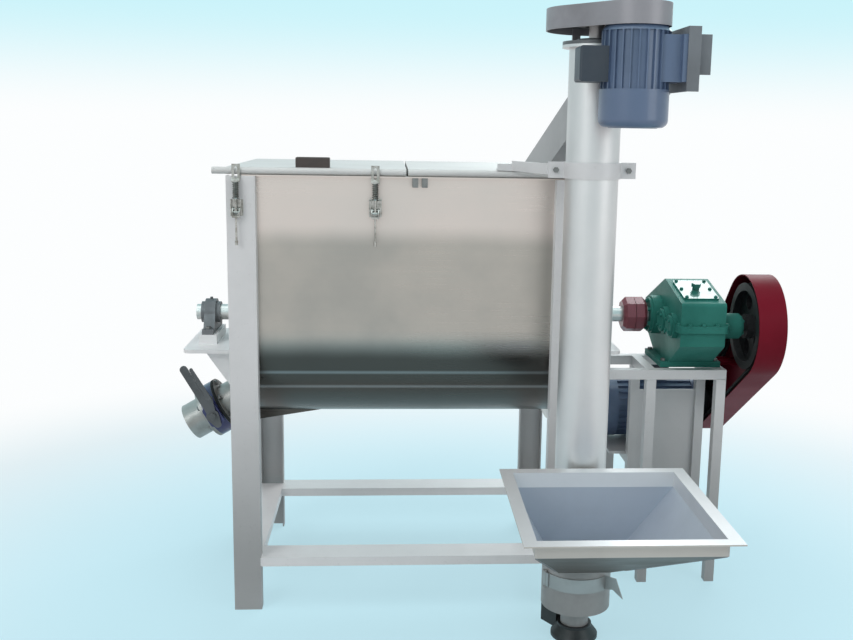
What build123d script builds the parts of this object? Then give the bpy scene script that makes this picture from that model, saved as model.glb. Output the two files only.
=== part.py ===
from build123d import *
import os
from math import cos, radians, sin

os.makedirs("parts", exist_ok=True)

# Ribbon blender with a screw feeder. X runs along the mixing shaft, Y to the rear, Z up from the floor.
# All sizes are in millimetres. While modelling, X = 0 is mid-trough and Y = 0 is the mixing shaft.

# Clearances
run_clear = 0.06        # radial, shaft in its bearing
body_clear = 0.4        # between pieces that move against each other
weld_gap = 0.5          # root gap between pieces of one welded group

# Main frame
frame_length = 1131
frame_depth = 768
leg_width = 90
leg_flange = 39
leg_gauge = 5
leg_height = 1448
rail_top = 184
rail_width = 103
rail_height = 31
rail_gauge = 4

# Trough
headroom = 160          # straight wall above the circle that the ribbons sweep
shell_wall = 3
rim_gauge = 4
end_plate_gauge = 8
seal_bore_gap = 15

# Lid and cover
cover_height = 23
cover_sheet = 3
lid_gap = 6
edge_tube_radius = 11
edge_tube_wall = 2
lid_tube_overhang = 43
hinge_pin_radius = 5
hinge_knuckle_radius = 10
hinge_knuckle_length = 34
hinge_leg_gap = 33
hinge_split_gap = 123
hinge_leaf = 26
grip_length = 106
grip_width = 45
grip_height = 32
grip_offset = 15

# Spring latches
latch_leg_offset = 12
latch_right_x = -100
latch_width = 40
latch_plate = 3
latch_above_rim = 33
latch_pivot_drop = 107
latch_handle_length = 112
latch_base_below = 21
latch_base_above = 30
latch_pin_radius = 3
latch_link_step = 8
latch_arm = 12
latch_spring_gap = 3
latch_loop_length = 55

# Mixing shaft and ribbons
journal_radius = 27.5
journal_end = 50
core_radius = 51
core_clear = 12
ribbon_end_clear = 36.5
ribbon_gauge = 8
ribbon_wall_clear = 12
outer_ribbon_width = 45
ribbon_step = 140
inner_ribbon_width = 40
arm_radius = 13
arm_count = 5
coupling_offset = 107
coupling_length = 84
coupling_radius = 64
coupling_gap = 2

# Bearings and shelves
bearing_offset = 158.5
shelf_gauge = 12
shelf_margin = 69
shelf_width = 388
gusset_reach = 160
gusset_drop = 230
gusset_spread = 300
brace_reach = 230
brace_drop = 37
brace_spread = 200
brace_gauge = 5
pad_height = 33.5
pillow_centre_height = 63.5
pillow_base_length = 200
pillow_base_height = 18
pillow_thickness = 38
pillow_radius = 48
nipple_radius = 5
nipple_height = 8
seal_flange_radius = 78
seal_flange_gauge = 12
seal_length = 66
seal_radius = 54

# Discharge pipe and butterfly valve
valve_offset = 144.5
valve_below_trough = 5
discharge_dip = 30
pipe_radius = 66.5
pipe_wall = 4
flange_lip = 28.5
flange_gauge = 12
valve_thickness = 52
seat_wall = 4.5
disc_thickness = 8
stem_radius = 8
neck_above_flange = 17
neck_radius = 24
spout_length = 84
lever_length = 205
lever_width = 26
lever_gauge = 8
trigger_length = 120

# Drive stand
gearbox_centre_height = 160
stand_lead = 87
stand_width = 282
stand_front = -210
stand_depth = 264
stand_bar = 34
stand_bar_wall = 3
panel_gauge = 3
panel_drop = 98
panel_height = 355

# Reducer
gear_offset = 56
gear_width = 155
gear_front = -290
gear_rear = 205
gear_foot_front = -165
gear_foot_rear = 60
gear_foot_gauge = 20
gear_shoulder = 60
gear_ridge_y = -60
gear_ridge_rise = 141
gear_front_rise = 87
gear_rear_rise = 28
split_flange_gauge = 12
split_flange_lip = 12
input_y = -220
idler_y = -115
output_boss_radius = 70
idler_boss_radius = 48
input_boss_radius = 44
boss_lip = 35
input_boss_lip = 65
cap_gauge = 9
output_shaft_radius = 30
input_shaft_radius = 20
shaft_engagement = 90

# Belt drive
pulley_gap = 21
pulley_width = 68
large_pulley_radius = 150
motor_pulley_radius = 68
belt_count = 3
belt_pitch = 19
belt_width = 11
belt_depth = 10
guard_margin = 29
guard_wall = 3
guard_lead = 8
guard_cap = 19

# Main motor
motor_y = 248
motor_drop = 407
motor_centre_height = 132
motor_radius = 112
motor_fin_height = 8
motor_fin_count = 28
motor_fin_gauge = 4
motor_fan_length = 95
motor_frame_length = 290
motor_shield_length = 30
motor_shaft_radius = 19
motor_foot_spread = 216
motor_foot_length = 180
base_gauge = 10
base_lead = 50
base_tail = 182

# Feeder
feeder_inset = 18
feeder_gap = 200
tube_radius = 79.5
tube_wall = 4
tube_above_chute = 185
tube_flange_lip = 20.5
boot_lip = 30
boot_wall = 4
boot_height = 223
spigot_radius = 44.5
spigot_length = 67
foot_height = 45
foot_radius = 75
stay_length = 74
stay_width = 40
stay_bearing = 123
screw_clear = 3.5
screw_shaft_radius = 24
screw_pitch = 140
screw_gauge = 4
screw_lift = 13
screw_stub = 0

# Hopper
hopper_length = 564
hopper_depth = 588
hopper_lead = 266
hopper_standoff = 98
hopper_above_boot = 257
hopper_skirt = 46
hopper_wall = 3
hopper_lip = 34
hopper_rim = 4
throat_rise = 159
throat_width = 160
throat_depth = 60
throat_overlap = 33.5

# Clean-out cover on the boot
cleanout_rise = 78
cleanout_height = 45
cleanout_gauge = 3
cleanout_start = -150
cleanout_sweep = 105
cleanout_pin_radius = 2.5
cleanout_tab = 68

# Feeder head
auger_motor_step = 73
auger_motor_clear = 10.5
auger_motor_radius = 88
auger_motor_fin_height = 7
auger_fan_length = 104
auger_frame_length = 156
auger_shield_length = 32
auger_motor_above_tube = 58
auger_motor_foot_height = 122
auger_shaft_radius = 14
auger_box_reach = 67
auger_box_height = 96
bearing_flange = 10
bearing_hub_radius = 58
bearing_drop = 22
auger_pulley_radius = 130
auger_motor_pulley_radius = 50
auger_pulley_above_tube = 60
auger_pulley_width = 38
top_guard_above_tube = 40
top_guard_height = 62
top_guard_margin = 20
top_guard_small_margin = 45
bracket_gauge = 6
bracket_flange = 34
bracket_drop = 135
bracket_height = 172
bracket_arm_rise = 22
bracket_arm_drop = 42

# Clamp, tie and chute
clamp_below_cover = 10
clamp_height = 48
clamp_gauge = 6
clamp_ear = 52
tie_offset = 147.5
tie_length = 115
tie_foot = 44
chute_rise = 190
chute_step = 71
chute_run_y = 330
chute_width = 136
chute_height = 110
chute_wall = 2.5

# Sizes that follow from the ones above
front_edge = -frame_depth / 2
trough_outer = frame_depth / 2 - leg_flange
trough_inner = trough_outer - shell_wall
rim_top = leg_height + rim_gauge
shaft_height = rim_top - headroom - trough_outer
plate_half = frame_depth / 2 - leg_gauge
plate_centre = (frame_length - leg_width) / 2
shell_half = plate_centre - end_plate_gauge / 2
plate_face = plate_centre + end_plate_gauge / 2
seal_bore = journal_radius + seal_bore_gap
cover_top = rim_top + cover_height
lid_middle = -frame_length / 4
hinge_spots = (-frame_length / 2 + leg_width + hinge_leg_gap, -hinge_split_gap)
grip_centre_x = lid_middle - grip_offset
latch_spots = (-plate_centre - latch_leg_offset, latch_right_x)
latch_top = rim_top + latch_above_rim
latch_pivot_height = rim_top - latch_pivot_drop
latch_handle_low = latch_pivot_height - latch_handle_length
latch_base_low = latch_pivot_height - latch_base_below
latch_base_high = latch_pivot_height + latch_base_above
brace_top = shaft_height - ((trough_outer - shell_wall / 2) ** 2 - (brace_spread / 2) ** 2) ** 0.5
pillow_x = plate_face + bearing_offset
shaft_end = pillow_x + journal_end
shelf_reach = pillow_x + shelf_margin
shelf_top = shaft_height - pillow_centre_height - pad_height
ribbon_pitch = 2 * (shell_half - ribbon_end_clear)
outer_ribbon_radius = trough_inner - ribbon_wall_clear
inner_ribbon_radius = outer_ribbon_radius - ribbon_step
coupling_left = pillow_x + coupling_offset
valve_x = -plate_face - valve_offset
valve_height = shaft_height - trough_outer - valve_below_trough
flange_radius = pipe_radius + flange_lip
neck_reach = flange_radius + neck_above_flange
spout_reach = valve_thickness / 2 + spout_length
gear_left = coupling_left + coupling_length + gear_offset
stand_left = gear_left - stand_lead
stand_top = shaft_height - gearbox_centre_height
stand_right = stand_left + stand_width
stand_bore = stand_bar - 2 * stand_bar_wall
stand_rear = stand_front + stand_depth
panel_high = stand_top - stand_bar - panel_drop
panel_low = panel_high - panel_height
input_boss_end = gear_left + gear_width + input_boss_lip
pulley_left = input_boss_end + pulley_gap
pulley_right = pulley_left + pulley_width
groove_depth = belt_depth + 1
guard_radius = large_pulley_radius + guard_margin
guard_small_radius = motor_pulley_radius + guard_margin
guard_left = pulley_left - guard_lead
guard_right = pulley_right + guard_cap
motor_axis_height = shaft_height - motor_drop
motor_fin_radius = motor_radius + motor_fin_height
motor_face = pulley_left - pulley_gap
motor_frame_right = motor_face - motor_shield_length
motor_frame_left = motor_frame_right - motor_frame_length
motor_fan_left = motor_frame_left - motor_fan_length
base_top = motor_axis_height - motor_centre_height
base_left = motor_frame_left - base_lead
base_rear = motor_y + base_tail
feeder_x = frame_length / 2 - feeder_inset
feeder_y = front_edge - feeder_gap
chute_start_height = cover_top + chute_rise
chute_end_x = feeder_x - chute_step
chute_end_y = feeder_y + chute_run_y
tube_inner = tube_radius - tube_wall
tube_top = chute_start_height + tube_above_chute
tube_flange_radius = tube_radius + tube_flange_lip
boot_radius = tube_radius + boot_lip
spigot_bottom = foot_height
boot_bottom = spigot_bottom + spigot_length
boot_top = boot_bottom + boot_height
screw_radius = tube_inner - screw_clear
screw_low = boot_bottom + screw_lift
screw_high = chute_start_height
hopper_left = feeder_x - hopper_lead
hopper_rear = feeder_y - hopper_standoff
hopper_front = hopper_rear - hopper_depth
hopper_top = boot_top + hopper_above_boot
skirt_bottom = hopper_top - hopper_skirt
throat_bottom = boot_bottom + throat_rise
cleanout_low = boot_bottom + cleanout_rise
cleanout_high = cleanout_low + cleanout_height
auger_motor_fin_radius = auger_motor_radius + auger_motor_fin_height
auger_motor_x = feeder_x + auger_motor_step
auger_motor_y = feeder_y - tube_radius - auger_motor_fin_radius - auger_motor_clear
auger_motor_face = tube_top + auger_motor_above_tube
auger_frame_top = auger_motor_face - auger_shield_length
auger_fan_top = auger_frame_top - auger_frame_length
auger_motor_low = auger_fan_top - auger_fan_length
auger_pulley_low = tube_top + auger_pulley_above_tube
screw_end = auger_pulley_low + auger_pulley_width + screw_stub
top_guard_low = tube_top + top_guard_above_tube
top_guard_high = top_guard_low + top_guard_height
top_guard_radius = auger_pulley_radius + top_guard_margin
top_guard_small_radius = auger_motor_pulley_radius + top_guard_small_margin
bracket_low = tube_top - bracket_drop
bracket_high = bracket_low + bracket_height
bracket_face = auger_motor_x + auger_motor_foot_height
clamp_low = cover_top - clamp_below_cover
clamp_high = clamp_low + clamp_height
tie_right = feeder_x - tie_offset
tie_left = tie_right - tie_length

pieces = []


def finish(piece, label):
    piece.part.label = label
    pieces.append(piece)


def grooved_disc(plane, radius, width, count, bore):
    # Revolves a pulley section about the plane's X axis: a disc with V grooves in its rim.
    first = (width - (count - 1) * belt_pitch) / 2
    outline = [(0, bore), (0, radius)]
    for index in range(count):
        middle = first + index * belt_pitch
        top_half = belt_width / 2 + 2
        low_half = belt_width / 2 + body_clear
        outline += [
            (middle - top_half, radius),
            (middle - low_half, radius - groove_depth),
            (middle + low_half, radius - groove_depth),
            (middle + top_half, radius),
        ]
    outline += [(width, radius), (width, bore)]
    with BuildSketch(plane) as section:
        with BuildLine():
            Polyline(*outline, close=True)
        make_face()
    revolve(section.sketch, axis=Axis(plane.origin, plane.x_dir))


def belt_loop(plane, width, far, near_radius, far_radius):
    # A closed belt round two pulleys: the hull of two circles with a smaller hull taken out.
    for grow, mode in ((belt_depth + body_clear, Mode.ADD), (body_clear, Mode.SUBTRACT)):
        with BuildSketch(plane) as section:
            Circle(near_radius - groove_depth + grow)
            with Locations(far):
                Circle(far_radius - groove_depth + grow)
            make_hull()
        extrude(section.sketch, amount=width, mode=mode)


def guard_pan(plane, depth, far, near_radius, far_radius, wall):
    # A belt guard: the hull of two circles as a pan, closed on the plane's far side.
    for shrink, height, mode in ((0, depth, Mode.ADD), (wall, depth - wall, Mode.SUBTRACT)):
        with BuildSketch(plane) as section:
            Circle(near_radius - shrink)
            with Locations(far):
                Circle(far_radius - shrink)
            make_hull()
        extrude(section.sketch, amount=height, mode=mode)


def finned_frame(plane, radius, fin_radius, fin_count, fin_gauge, length):
    # A motor's ribbed frame: a round body with radial fins along it.
    with BuildSketch(plane) as section:
        Circle(radius)
        with PolarLocations((radius - fin_gauge + fin_radius) / 2, fin_count):
            Rectangle(fin_radius - radius + fin_gauge, fin_gauge)
    extrude(section.sketch, amount=length)


# Frame: channel legs with their open sides to the trough, and folded floor rails
leg_y = (frame_depth - leg_flange) / 2
with BuildPart() as frame_legs:
    with BuildSketch():
        with GridLocations(2 * plate_centre, 2 * leg_y, 2, 2):
            Rectangle(leg_width, leg_flange)
        with GridLocations(2 * plate_centre, 2 * (leg_y - leg_gauge), 2, 2):
            Rectangle(leg_width - 2 * leg_gauge, leg_flange, mode=Mode.SUBTRACT)
    extrude(amount=leg_height)
finish(frame_legs, "frame_legs")

rail_span = frame_length - 2 * leg_width
side_rail_span = frame_depth - 2 * leg_flange
side_rail_width = leg_width - weld_gap
side_rail_x = plate_centre + weld_gap / 2
with BuildPart() as frame_rails:
    with BuildSketch(Plane.XY.offset(rail_top - rail_height)):
        with GridLocations(0, frame_depth - rail_width, 1, 2):
            Rectangle(rail_span, rail_width)
        with GridLocations(2 * side_rail_x, 0, 2, 1):
            Rectangle(side_rail_width, side_rail_span)
    extrude(amount=rail_height)
    with BuildSketch(Plane.XY.offset(rail_top - rail_height)):
        with GridLocations(0, frame_depth - rail_width, 1, 2):
            Rectangle(rail_span, rail_width - 2 * rail_gauge)
        with GridLocations(2 * side_rail_x, 0, 2, 1):
            Rectangle(side_rail_width - 2 * rail_gauge, side_rail_span)
    extrude(amount=rail_height - rail_gauge, mode=Mode.SUBTRACT)
finish(frame_rails, "frame_rails")

# Trough: one folded sheet with an outward rim, closed by U-shaped end plates
def trough_outline(half_width, mode):
    # A U: straight walls down from the rim, closed by a half circle about the shaft.
    with BuildLine() as outline:
        Polyline(
            (-half_width, shaft_height),
            (-half_width, rim_top),
            (half_width, rim_top),
            (half_width, shaft_height),
        )
        ThreePointArc(
            (half_width, shaft_height),
            (0, shaft_height - half_width),
            (-half_width, shaft_height),
        )
    make_face(outline.edges(), mode=mode)


with BuildPart() as trough_shell:
    with BuildSketch(Plane.YZ) as section:
        trough_outline(trough_outer, Mode.ADD)
        with Locations((0, rim_top - rim_gauge / 2)):
            Rectangle(frame_depth, rim_gauge)
        trough_outline(trough_inner, Mode.SUBTRACT)
    extrude(section.sketch, amount=shell_half, both=True)
    # Two braces under the discharge end
    for spread in (-1, 1):
        with BuildSketch(Plane.XZ.offset(spread * brace_spread / 2)) as brace:
            with BuildLine():
                Polyline(
                    (-shell_half, brace_top),
                    (-shell_half + brace_reach, brace_top),
                    (-shell_half, brace_top - brace_drop),
                    close=True,
                )
            make_face()
        extrude(brace.sketch, amount=brace_gauge / 2, both=True)
finish(trough_shell, "trough_shell")

dip_cos = cos(radians(discharge_dip))
dip_sin = sin(radians(discharge_dip))
discharge = Plane(origin=(valve_x, 0, valve_height), x_dir=(0, 1, 0), z_dir=(-dip_cos, 0, -dip_sin))
pipe_run = 2 * (valve_x + shell_half) / -dip_cos

with BuildPart() as end_plates:
    for side in (-1, 1):
        with BuildSketch(Plane.YZ.offset(side * plate_centre)):
            trough_outline(plate_half, Mode.ADD)
            with Locations((0, shaft_height)):
                Circle(seal_bore, mode=Mode.SUBTRACT)
        extrude(amount=end_plate_gauge / 2, both=True)
    with BuildSketch(discharge):
        Circle(pipe_radius)
    extrude(amount=-pipe_run, mode=Mode.SUBTRACT)
finish(end_plates, "end_plates")

# Chute: a straight rectangular duct from the feeder tube down to the fixed cover
chute_vector = Vector(chute_end_x - feeder_x, chute_end_y - feeder_y, cover_top - chute_start_height)
chute_across = chute_vector.cross(Vector(0, 0, 1))
chute = Plane(
    origin=(feeder_x, feeder_y, chute_start_height),
    x_dir=chute_across,
    z_dir=chute_vector,
)
chute_run = chute_vector.length + chute_height


def chute_core(plane):
    # The duct's clear inside, taken out of what it opens into.
    with BuildSketch(plane) as section:
        Rectangle(chute_width - 2 * chute_wall, chute_height - 2 * chute_wall)
    extrude(section.sketch, amount=chute_run, mode=Mode.SUBTRACT)


with BuildPart() as feed_chute:
    with BuildSketch(chute):
        Rectangle(chute_width, chute_height)
    extrude(amount=chute_run)
    chute_core(chute)
    with BuildSketch(Plane.XY.offset(cover_top)):
        with Locations((feeder_x, feeder_y)):
            Circle(tube_radius)
    extrude(amount=tube_top - cover_top, mode=Mode.SUBTRACT)
    split(bisect_by=Plane.XY.offset(cover_top), keep=Keep.TOP)
finish(feed_chute, "feed_chute")

# Covers: sheet pans with a rolled tube along the front edge
edge_y = front_edge + edge_tube_radius
pan_depth = frame_depth - edge_tube_radius
pan_y = edge_tube_radius / 2


def cover_pan(left, right, tube_left, base):
    # A shallow pan open below, between two X stations, with its rolled edge tube.
    middle = (left + right) / 2
    tube_plane = Plane.YZ.offset(tube_left)
    with BuildSketch(Plane.XY.offset(base)) as section:
        with Locations((middle, pan_y)):
            Rectangle(right - left, pan_depth)
    extrude(section.sketch, amount=cover_top - base)
    with BuildSketch(Plane.XY.offset(base)) as section:
        with Locations((middle, pan_y)):
            Rectangle(right - left - 2 * cover_sheet, pan_depth - 2 * cover_sheet)
    extrude(section.sketch, amount=cover_top - base - cover_sheet, mode=Mode.SUBTRACT)
    for radius, mode in ((edge_tube_radius, Mode.ADD), (edge_tube_radius - edge_tube_wall, Mode.SUBTRACT)):
        with BuildSketch(tube_plane) as section:
            with Locations((edge_y, (base + cover_top) / 2)):
                Circle(radius)
        extrude(section.sketch, amount=right - tube_left, mode=mode)


with BuildPart() as cover_fixed:
    cover_pan(lid_gap / 2, frame_length / 2, lid_gap / 2, rim_top)
    chute_core(chute)
finish(cover_fixed, "cover_fixed")

lid_bottom = rim_top + body_clear
hinge_y = frame_depth / 2 + hinge_knuckle_radius + 2
hinge_height = rim_top + cover_height / 2
with BuildPart() as lid:
    cover_pan(-frame_length / 2, -lid_gap / 2, -frame_length / 2 - lid_tube_overhang, lid_bottom)
    for spot in hinge_spots:
        knuckle = Plane.YZ.offset(spot - hinge_knuckle_length / 2)
        with BuildSketch(knuckle):
            with Locations((hinge_y, hinge_height)):
                Circle(hinge_knuckle_radius)
            with Locations(((hinge_y + frame_depth / 2) / 2 - cover_sheet / 2, hinge_height)):
                Rectangle(hinge_y - frame_depth / 2 + cover_sheet, hinge_knuckle_radius)
        extrude(amount=hinge_knuckle_length)
        with BuildSketch(knuckle):
            with Locations((hinge_y, hinge_height)):
                Circle(hinge_pin_radius + run_clear)
        extrude(amount=hinge_knuckle_length, mode=Mode.SUBTRACT)
finish(lid, "lid")

hinge_outer = hinge_knuckle_length / 2 + body_clear
with BuildPart() as lid_hinges:
    for spot in hinge_spots:
        for side in (-1, 1):
            ear = Plane.YZ.offset(spot + side * hinge_outer)
            with BuildSketch(ear):
                with Locations((hinge_y, hinge_height)):
                    Circle(hinge_knuckle_radius)
                with Locations((hinge_y, hinge_height - hinge_leaf / 2)):
                    Rectangle(2 * hinge_knuckle_radius, hinge_leaf)
            extrude(amount=side * rim_gauge * 2)
        with BuildSketch(Plane.YZ.offset(spot - hinge_outer)):
            with Locations((hinge_y, hinge_height)):
                Circle(hinge_pin_radius)
        extrude(amount=2 * hinge_outer)
        foot_low = hinge_height - hinge_leaf
        with BuildSketch(Plane.XY.offset(foot_low)):
            with Locations((spot, (hinge_y + hinge_knuckle_radius + trough_outer) / 2)):
                Rectangle(2 * hinge_outer + 4 * rim_gauge, hinge_y + hinge_knuckle_radius - trough_outer)
        extrude(amount=leg_height - foot_low)
finish(lid_hinges, "lid_hinges")

with BuildPart() as lid_grip:
    with BuildSketch(Plane.XY.offset(cover_top)):
        with Locations((grip_centre_x, edge_y + edge_tube_radius + grip_width / 2)):
            Rectangle(grip_length, grip_width)
    extrude(amount=grip_height)
    chamfer(lid_grip.faces().sort_by(Axis.Z)[-1].edges(), 2)
    with BuildSketch(Plane.XY.offset(cover_top + grip_height)):
        with Locations((grip_centre_x, edge_y + edge_tube_radius + grip_width / 2)):
            Rectangle(grip_length - 16, grip_width - 16)
    extrude(amount=-8, mode=Mode.SUBTRACT)
finish(lid_grip, "lid_grip")

# Spring latches: a fixed base with a pivot pin, a lever, and a hook that the lever lifts
latch_face = front_edge - latch_plate
latch_pin_y = front_edge - 11
latch_link_y = latch_pin_y - latch_link_step
latch_link_height = latch_pivot_height - (latch_arm**2 - latch_link_step**2) ** 0.5
ear_gauge = 3
ear_x = latch_width / 2 - ear_gauge / 2 - 3
lever_plate_x = ear_x - ear_gauge - body_clear
link_pin_radius = 2.5

with BuildPart() as latch_bases:
    for spot, seat in zip(latch_spots, (front_edge, -trough_outer)):
        with BuildSketch(Plane.XY.offset(latch_base_low)):
            with Locations((spot, (seat + latch_face) / 2)):
                Rectangle(latch_width, seat - latch_face)
            with Locations((spot - ear_x, latch_pin_y), (spot + ear_x, latch_pin_y)):
                Rectangle(ear_gauge, 2 * (latch_face - latch_pin_y))
        extrude(amount=latch_base_high - latch_base_low)
        with BuildSketch(Plane.YZ.offset(spot - ear_x)):
            with Locations((latch_pin_y, latch_pivot_height)):
                Circle(latch_pin_radius)
        extrude(amount=2 * ear_x)
finish(latch_bases, "latch_bases")

hook_eye = 5.5
hook_width = 26
latch_yoke = latch_link_height - 2 * hook_eye - 3
spring_low = latch_base_high + latch_spring_gap
spring_high = latch_top - latch_loop_length
spring_radius = 9
coil_count = 9
hook_plate_y = front_edge - 4
latch_sides = ("left", "right")
for spot, side_name in zip(latch_spots, latch_sides):
    with BuildPart() as latch_lever:
        for side in (-1, 1):
            with BuildSketch(Plane.YZ.offset(spot + side * lever_plate_x)):
                with Locations((latch_pin_y, latch_pivot_height)):
                    Circle(6)
                with Locations((latch_link_y, latch_link_height)):
                    Circle(hook_eye)
                with Locations((latch_link_y, latch_yoke)):
                    Circle(ear_gauge)
                make_hull()
                with Locations((latch_pin_y, latch_pivot_height)):
                    Circle(latch_pin_radius + run_clear, mode=Mode.SUBTRACT)
            extrude(amount=-side * ear_gauge)
        with BuildSketch(Plane.YZ.offset(spot - lever_plate_x)):
            with Locations((latch_link_y, latch_link_height)):
                Circle(link_pin_radius)
        extrude(amount=2 * lever_plate_x)
        with BuildSketch(Plane.XY.offset(latch_yoke - ear_gauge)):
            with Locations((spot, latch_link_y)):
                Rectangle(2 * lever_plate_x, 2 * ear_gauge)
        extrude(amount=2 * ear_gauge)
        with BuildSketch(Plane.XY.offset(latch_handle_low)):
            with Locations((spot, latch_link_y)):
                Circle(ear_gauge)
        extrude(amount=latch_yoke - latch_handle_low)
        with BuildSketch(Plane.XY.offset(latch_handle_low)):
            with Locations((spot, latch_link_y)):
                Circle(ear_gauge + 2)
        extrude(amount=14)
    finish(latch_lever, f"latch_lever_{side_name}")

    with BuildPart() as latch_hook:
        eye_plane = Plane.YZ.offset(spot - hook_eye)
        with BuildSketch(eye_plane):
            with Locations((latch_link_y, latch_link_height)):
                Circle(hook_eye - 0.3)
        extrude(amount=2 * hook_eye)
        with BuildSketch(eye_plane):
            with Locations((latch_link_y, latch_link_height)):
                Circle(link_pin_radius + run_clear)
        extrude(amount=2 * hook_eye, mode=Mode.SUBTRACT)
        with BuildSketch(Plane.XY.offset(latch_link_height + hook_eye - 1)):
            with Locations((spot, latch_link_y)):
                Circle(ear_gauge)
        extrude(amount=spring_high + 6 - latch_link_height - hook_eye)
        coil = (spring_high - spring_low) / coil_count
        coil_points = [(ear_gauge - 1, 0)]
        for index in range(coil_count):
            coil_points += [(spring_radius - 2, index * coil), (spring_radius, (index + 0.5) * coil)]
        spring_length = spring_high - spring_low
        coil_points += [(spring_radius - 2, spring_length), (ear_gauge - 1, spring_length)]
        spring_plane = Plane(origin=(spot, latch_link_y, spring_low), x_dir=(1, 0, 0), z_dir=(0, -1, 0))
        with BuildSketch(spring_plane):
            with BuildLine():
                Polyline(*coil_points, close=True)
            make_face()
        revolve(axis=Axis(spring_plane.origin, (0, 0, 1)))
        with BuildSketch(Plane.YZ.offset(spot - hook_width / 2)):
            with BuildLine():
                Polyline(
                    (latch_link_y - 2, spring_high),
                    (latch_link_y + 4, spring_high),
                    (hook_plate_y + 1, spring_high + 12),
                    (hook_plate_y + 1, latch_top),
                    (hook_plate_y - 2, latch_top),
                    (hook_plate_y - 2, spring_high + 14),
                    (latch_link_y - 2, spring_high + 4),
                    close=True,
                )
            make_face()
        extrude(amount=hook_width)
        with BuildSketch(Plane.XZ.offset(-latch_link_y)):
            with Locations((spot, latch_top - 26)):
                SlotOverall(36, 10, rotation=90)
        extrude(amount=4 * hook_width, both=True, mode=Mode.SUBTRACT)
    finish(latch_hook, f"latch_hook_{side_name}")

# Bearings: bracketed shelves on the end plates carry pillow blocks; packing glands seal the shaft
pad_length = pillow_thickness + 24
with BuildPart() as bearing_shelves:
    with BuildSketch(Plane.XY.offset(shelf_top - shelf_gauge)):
        with GridLocations(plate_face + shelf_reach, 0, 2, 1):
            Rectangle(shelf_reach - plate_face, shelf_width)
    extrude(amount=shelf_gauge)
    corner_columns = bearing_shelves.edges().filter_by(Axis.Z).group_by(Axis.X)
    fillet(corner_columns[0] + corner_columns[-1], 24)
    for side in (-1, 1):
        for spread in (-1, 1):
            with BuildSketch(Plane.XZ.offset(spread * gusset_spread / 2)):
                with BuildLine():
                    Polyline(
                        (side * plate_face, shelf_top - shelf_gauge),
                        (side * (plate_face + gusset_reach), shelf_top - shelf_gauge),
                        (side * plate_face, shelf_top - shelf_gauge - gusset_drop),
                        close=True,
                    )
                make_face()
            extrude(amount=end_plate_gauge / 2, both=True)
    with BuildSketch(Plane.XY.offset(shelf_top)):
        with GridLocations(2 * pillow_x, 0, 2, 1):
            Rectangle(pad_length, pillow_base_length)
    extrude(amount=pad_height)
finish(bearing_shelves, "bearing_shelves")

with BuildPart() as pillow_blocks:
    for side in (-1, 1):
        block = Plane.YZ.offset(side * pillow_x)
        base_low = shaft_height - pillow_centre_height
        with BuildSketch(block):
            with Locations((0, base_low + pillow_base_height / 2)):
                Rectangle(pillow_base_length, pillow_base_height)
            with BuildLine():
                Polyline(
                    (-pillow_radius - 22, base_low + pillow_base_height),
                    (pillow_radius + 22, base_low + pillow_base_height),
                    (pillow_radius, shaft_height),
                    (-pillow_radius, shaft_height),
                    close=True,
                )
            make_face()
            with Locations((0, shaft_height)):
                Circle(pillow_radius)
        extrude(amount=pillow_thickness / 2, both=True)
        with BuildSketch(block):
            with Locations((0, shaft_height)):
                Circle(journal_radius + 10)
        extrude(amount=pillow_thickness / 2 + 14, both=True)
        with BuildSketch(block):
            with Locations((0, shaft_height)):
                Circle(journal_radius + run_clear)
        extrude(amount=pillow_thickness, both=True, mode=Mode.SUBTRACT)
        with BuildSketch(Plane.XY.offset(shaft_height + pillow_radius - 2)):
            with Locations((side * pillow_x, 0)):
                Circle(nipple_radius)
        extrude(amount=nipple_height)
finish(pillow_blocks, "pillow_blocks")

with BuildPart() as shaft_seals:
    for side in (-1, 1):
        face = Plane.YZ.offset(side * plate_face)
        for radius, length in ((seal_flange_radius, seal_flange_gauge), (seal_radius, seal_length)):
            with BuildSketch(face):
                with Locations((0, shaft_height)):
                    Circle(radius)
            extrude(amount=side * length)
        with BuildSketch(face):
            with Locations((0, shaft_height)):
                Circle(journal_radius + run_clear)
        extrude(amount=side * seal_length, mode=Mode.SUBTRACT)
finish(shaft_seals, "shaft_seals")

# Mixing shaft with its arms, and the ribbons of opposite hand that the arms carry
arm_step = ribbon_pitch / (arm_count - 1)
ribbon_start = -ribbon_pitch / 2
shaft_point = Plane(origin=(0, 0, shaft_height), x_dir=(0, 1, 0), z_dir=(1, 0, 0))
shaft_plane = shaft_point.offset(-shaft_end)
coupling_middle = coupling_left + coupling_length / 2
core_half = shell_half - core_clear
outer_helix_radius = outer_ribbon_radius - outer_ribbon_width / 2
inner_helix_radius = inner_ribbon_radius - inner_ribbon_width / 2
arm_reach = outer_ribbon_radius - outer_ribbon_width / 2


def ribbon_pair(helix_radius, width, left_hand):
    # Two flat strips half a turn apart, wound about the shaft with their width radial.
    for turn in (0, 180):
        spin = Axis((0, 0, shaft_height), (1, 0, 0))
        with BuildLine() as route:
            Helix(ribbon_pitch, ribbon_pitch, helix_radius, lefthand=left_hand)
        start = route.line @ 0
        across = Plane(origin=start, x_dir=(start.X, start.Y, 0), z_dir=route.line % 0)
        with BuildSketch(across) as section:
            Rectangle(width, ribbon_gauge)
        strip = sweep(section.sketch, path=route.line, is_frenet=True, mode=Mode.PRIVATE)
        placed = Plane(origin=(ribbon_start, 0, shaft_height), x_dir=(0, 1, 0), z_dir=(1, 0, 0))
        add(strip.moved(placed.location).rotate(spin, turn))


with BuildPart() as outer_ribbons:
    ribbon_pair(outer_helix_radius, outer_ribbon_width, False)
finish(outer_ribbons, "outer_ribbons")

with BuildPart() as inner_ribbons:
    ribbon_pair(inner_helix_radius, inner_ribbon_width, True)
finish(inner_ribbons, "inner_ribbons")

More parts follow.
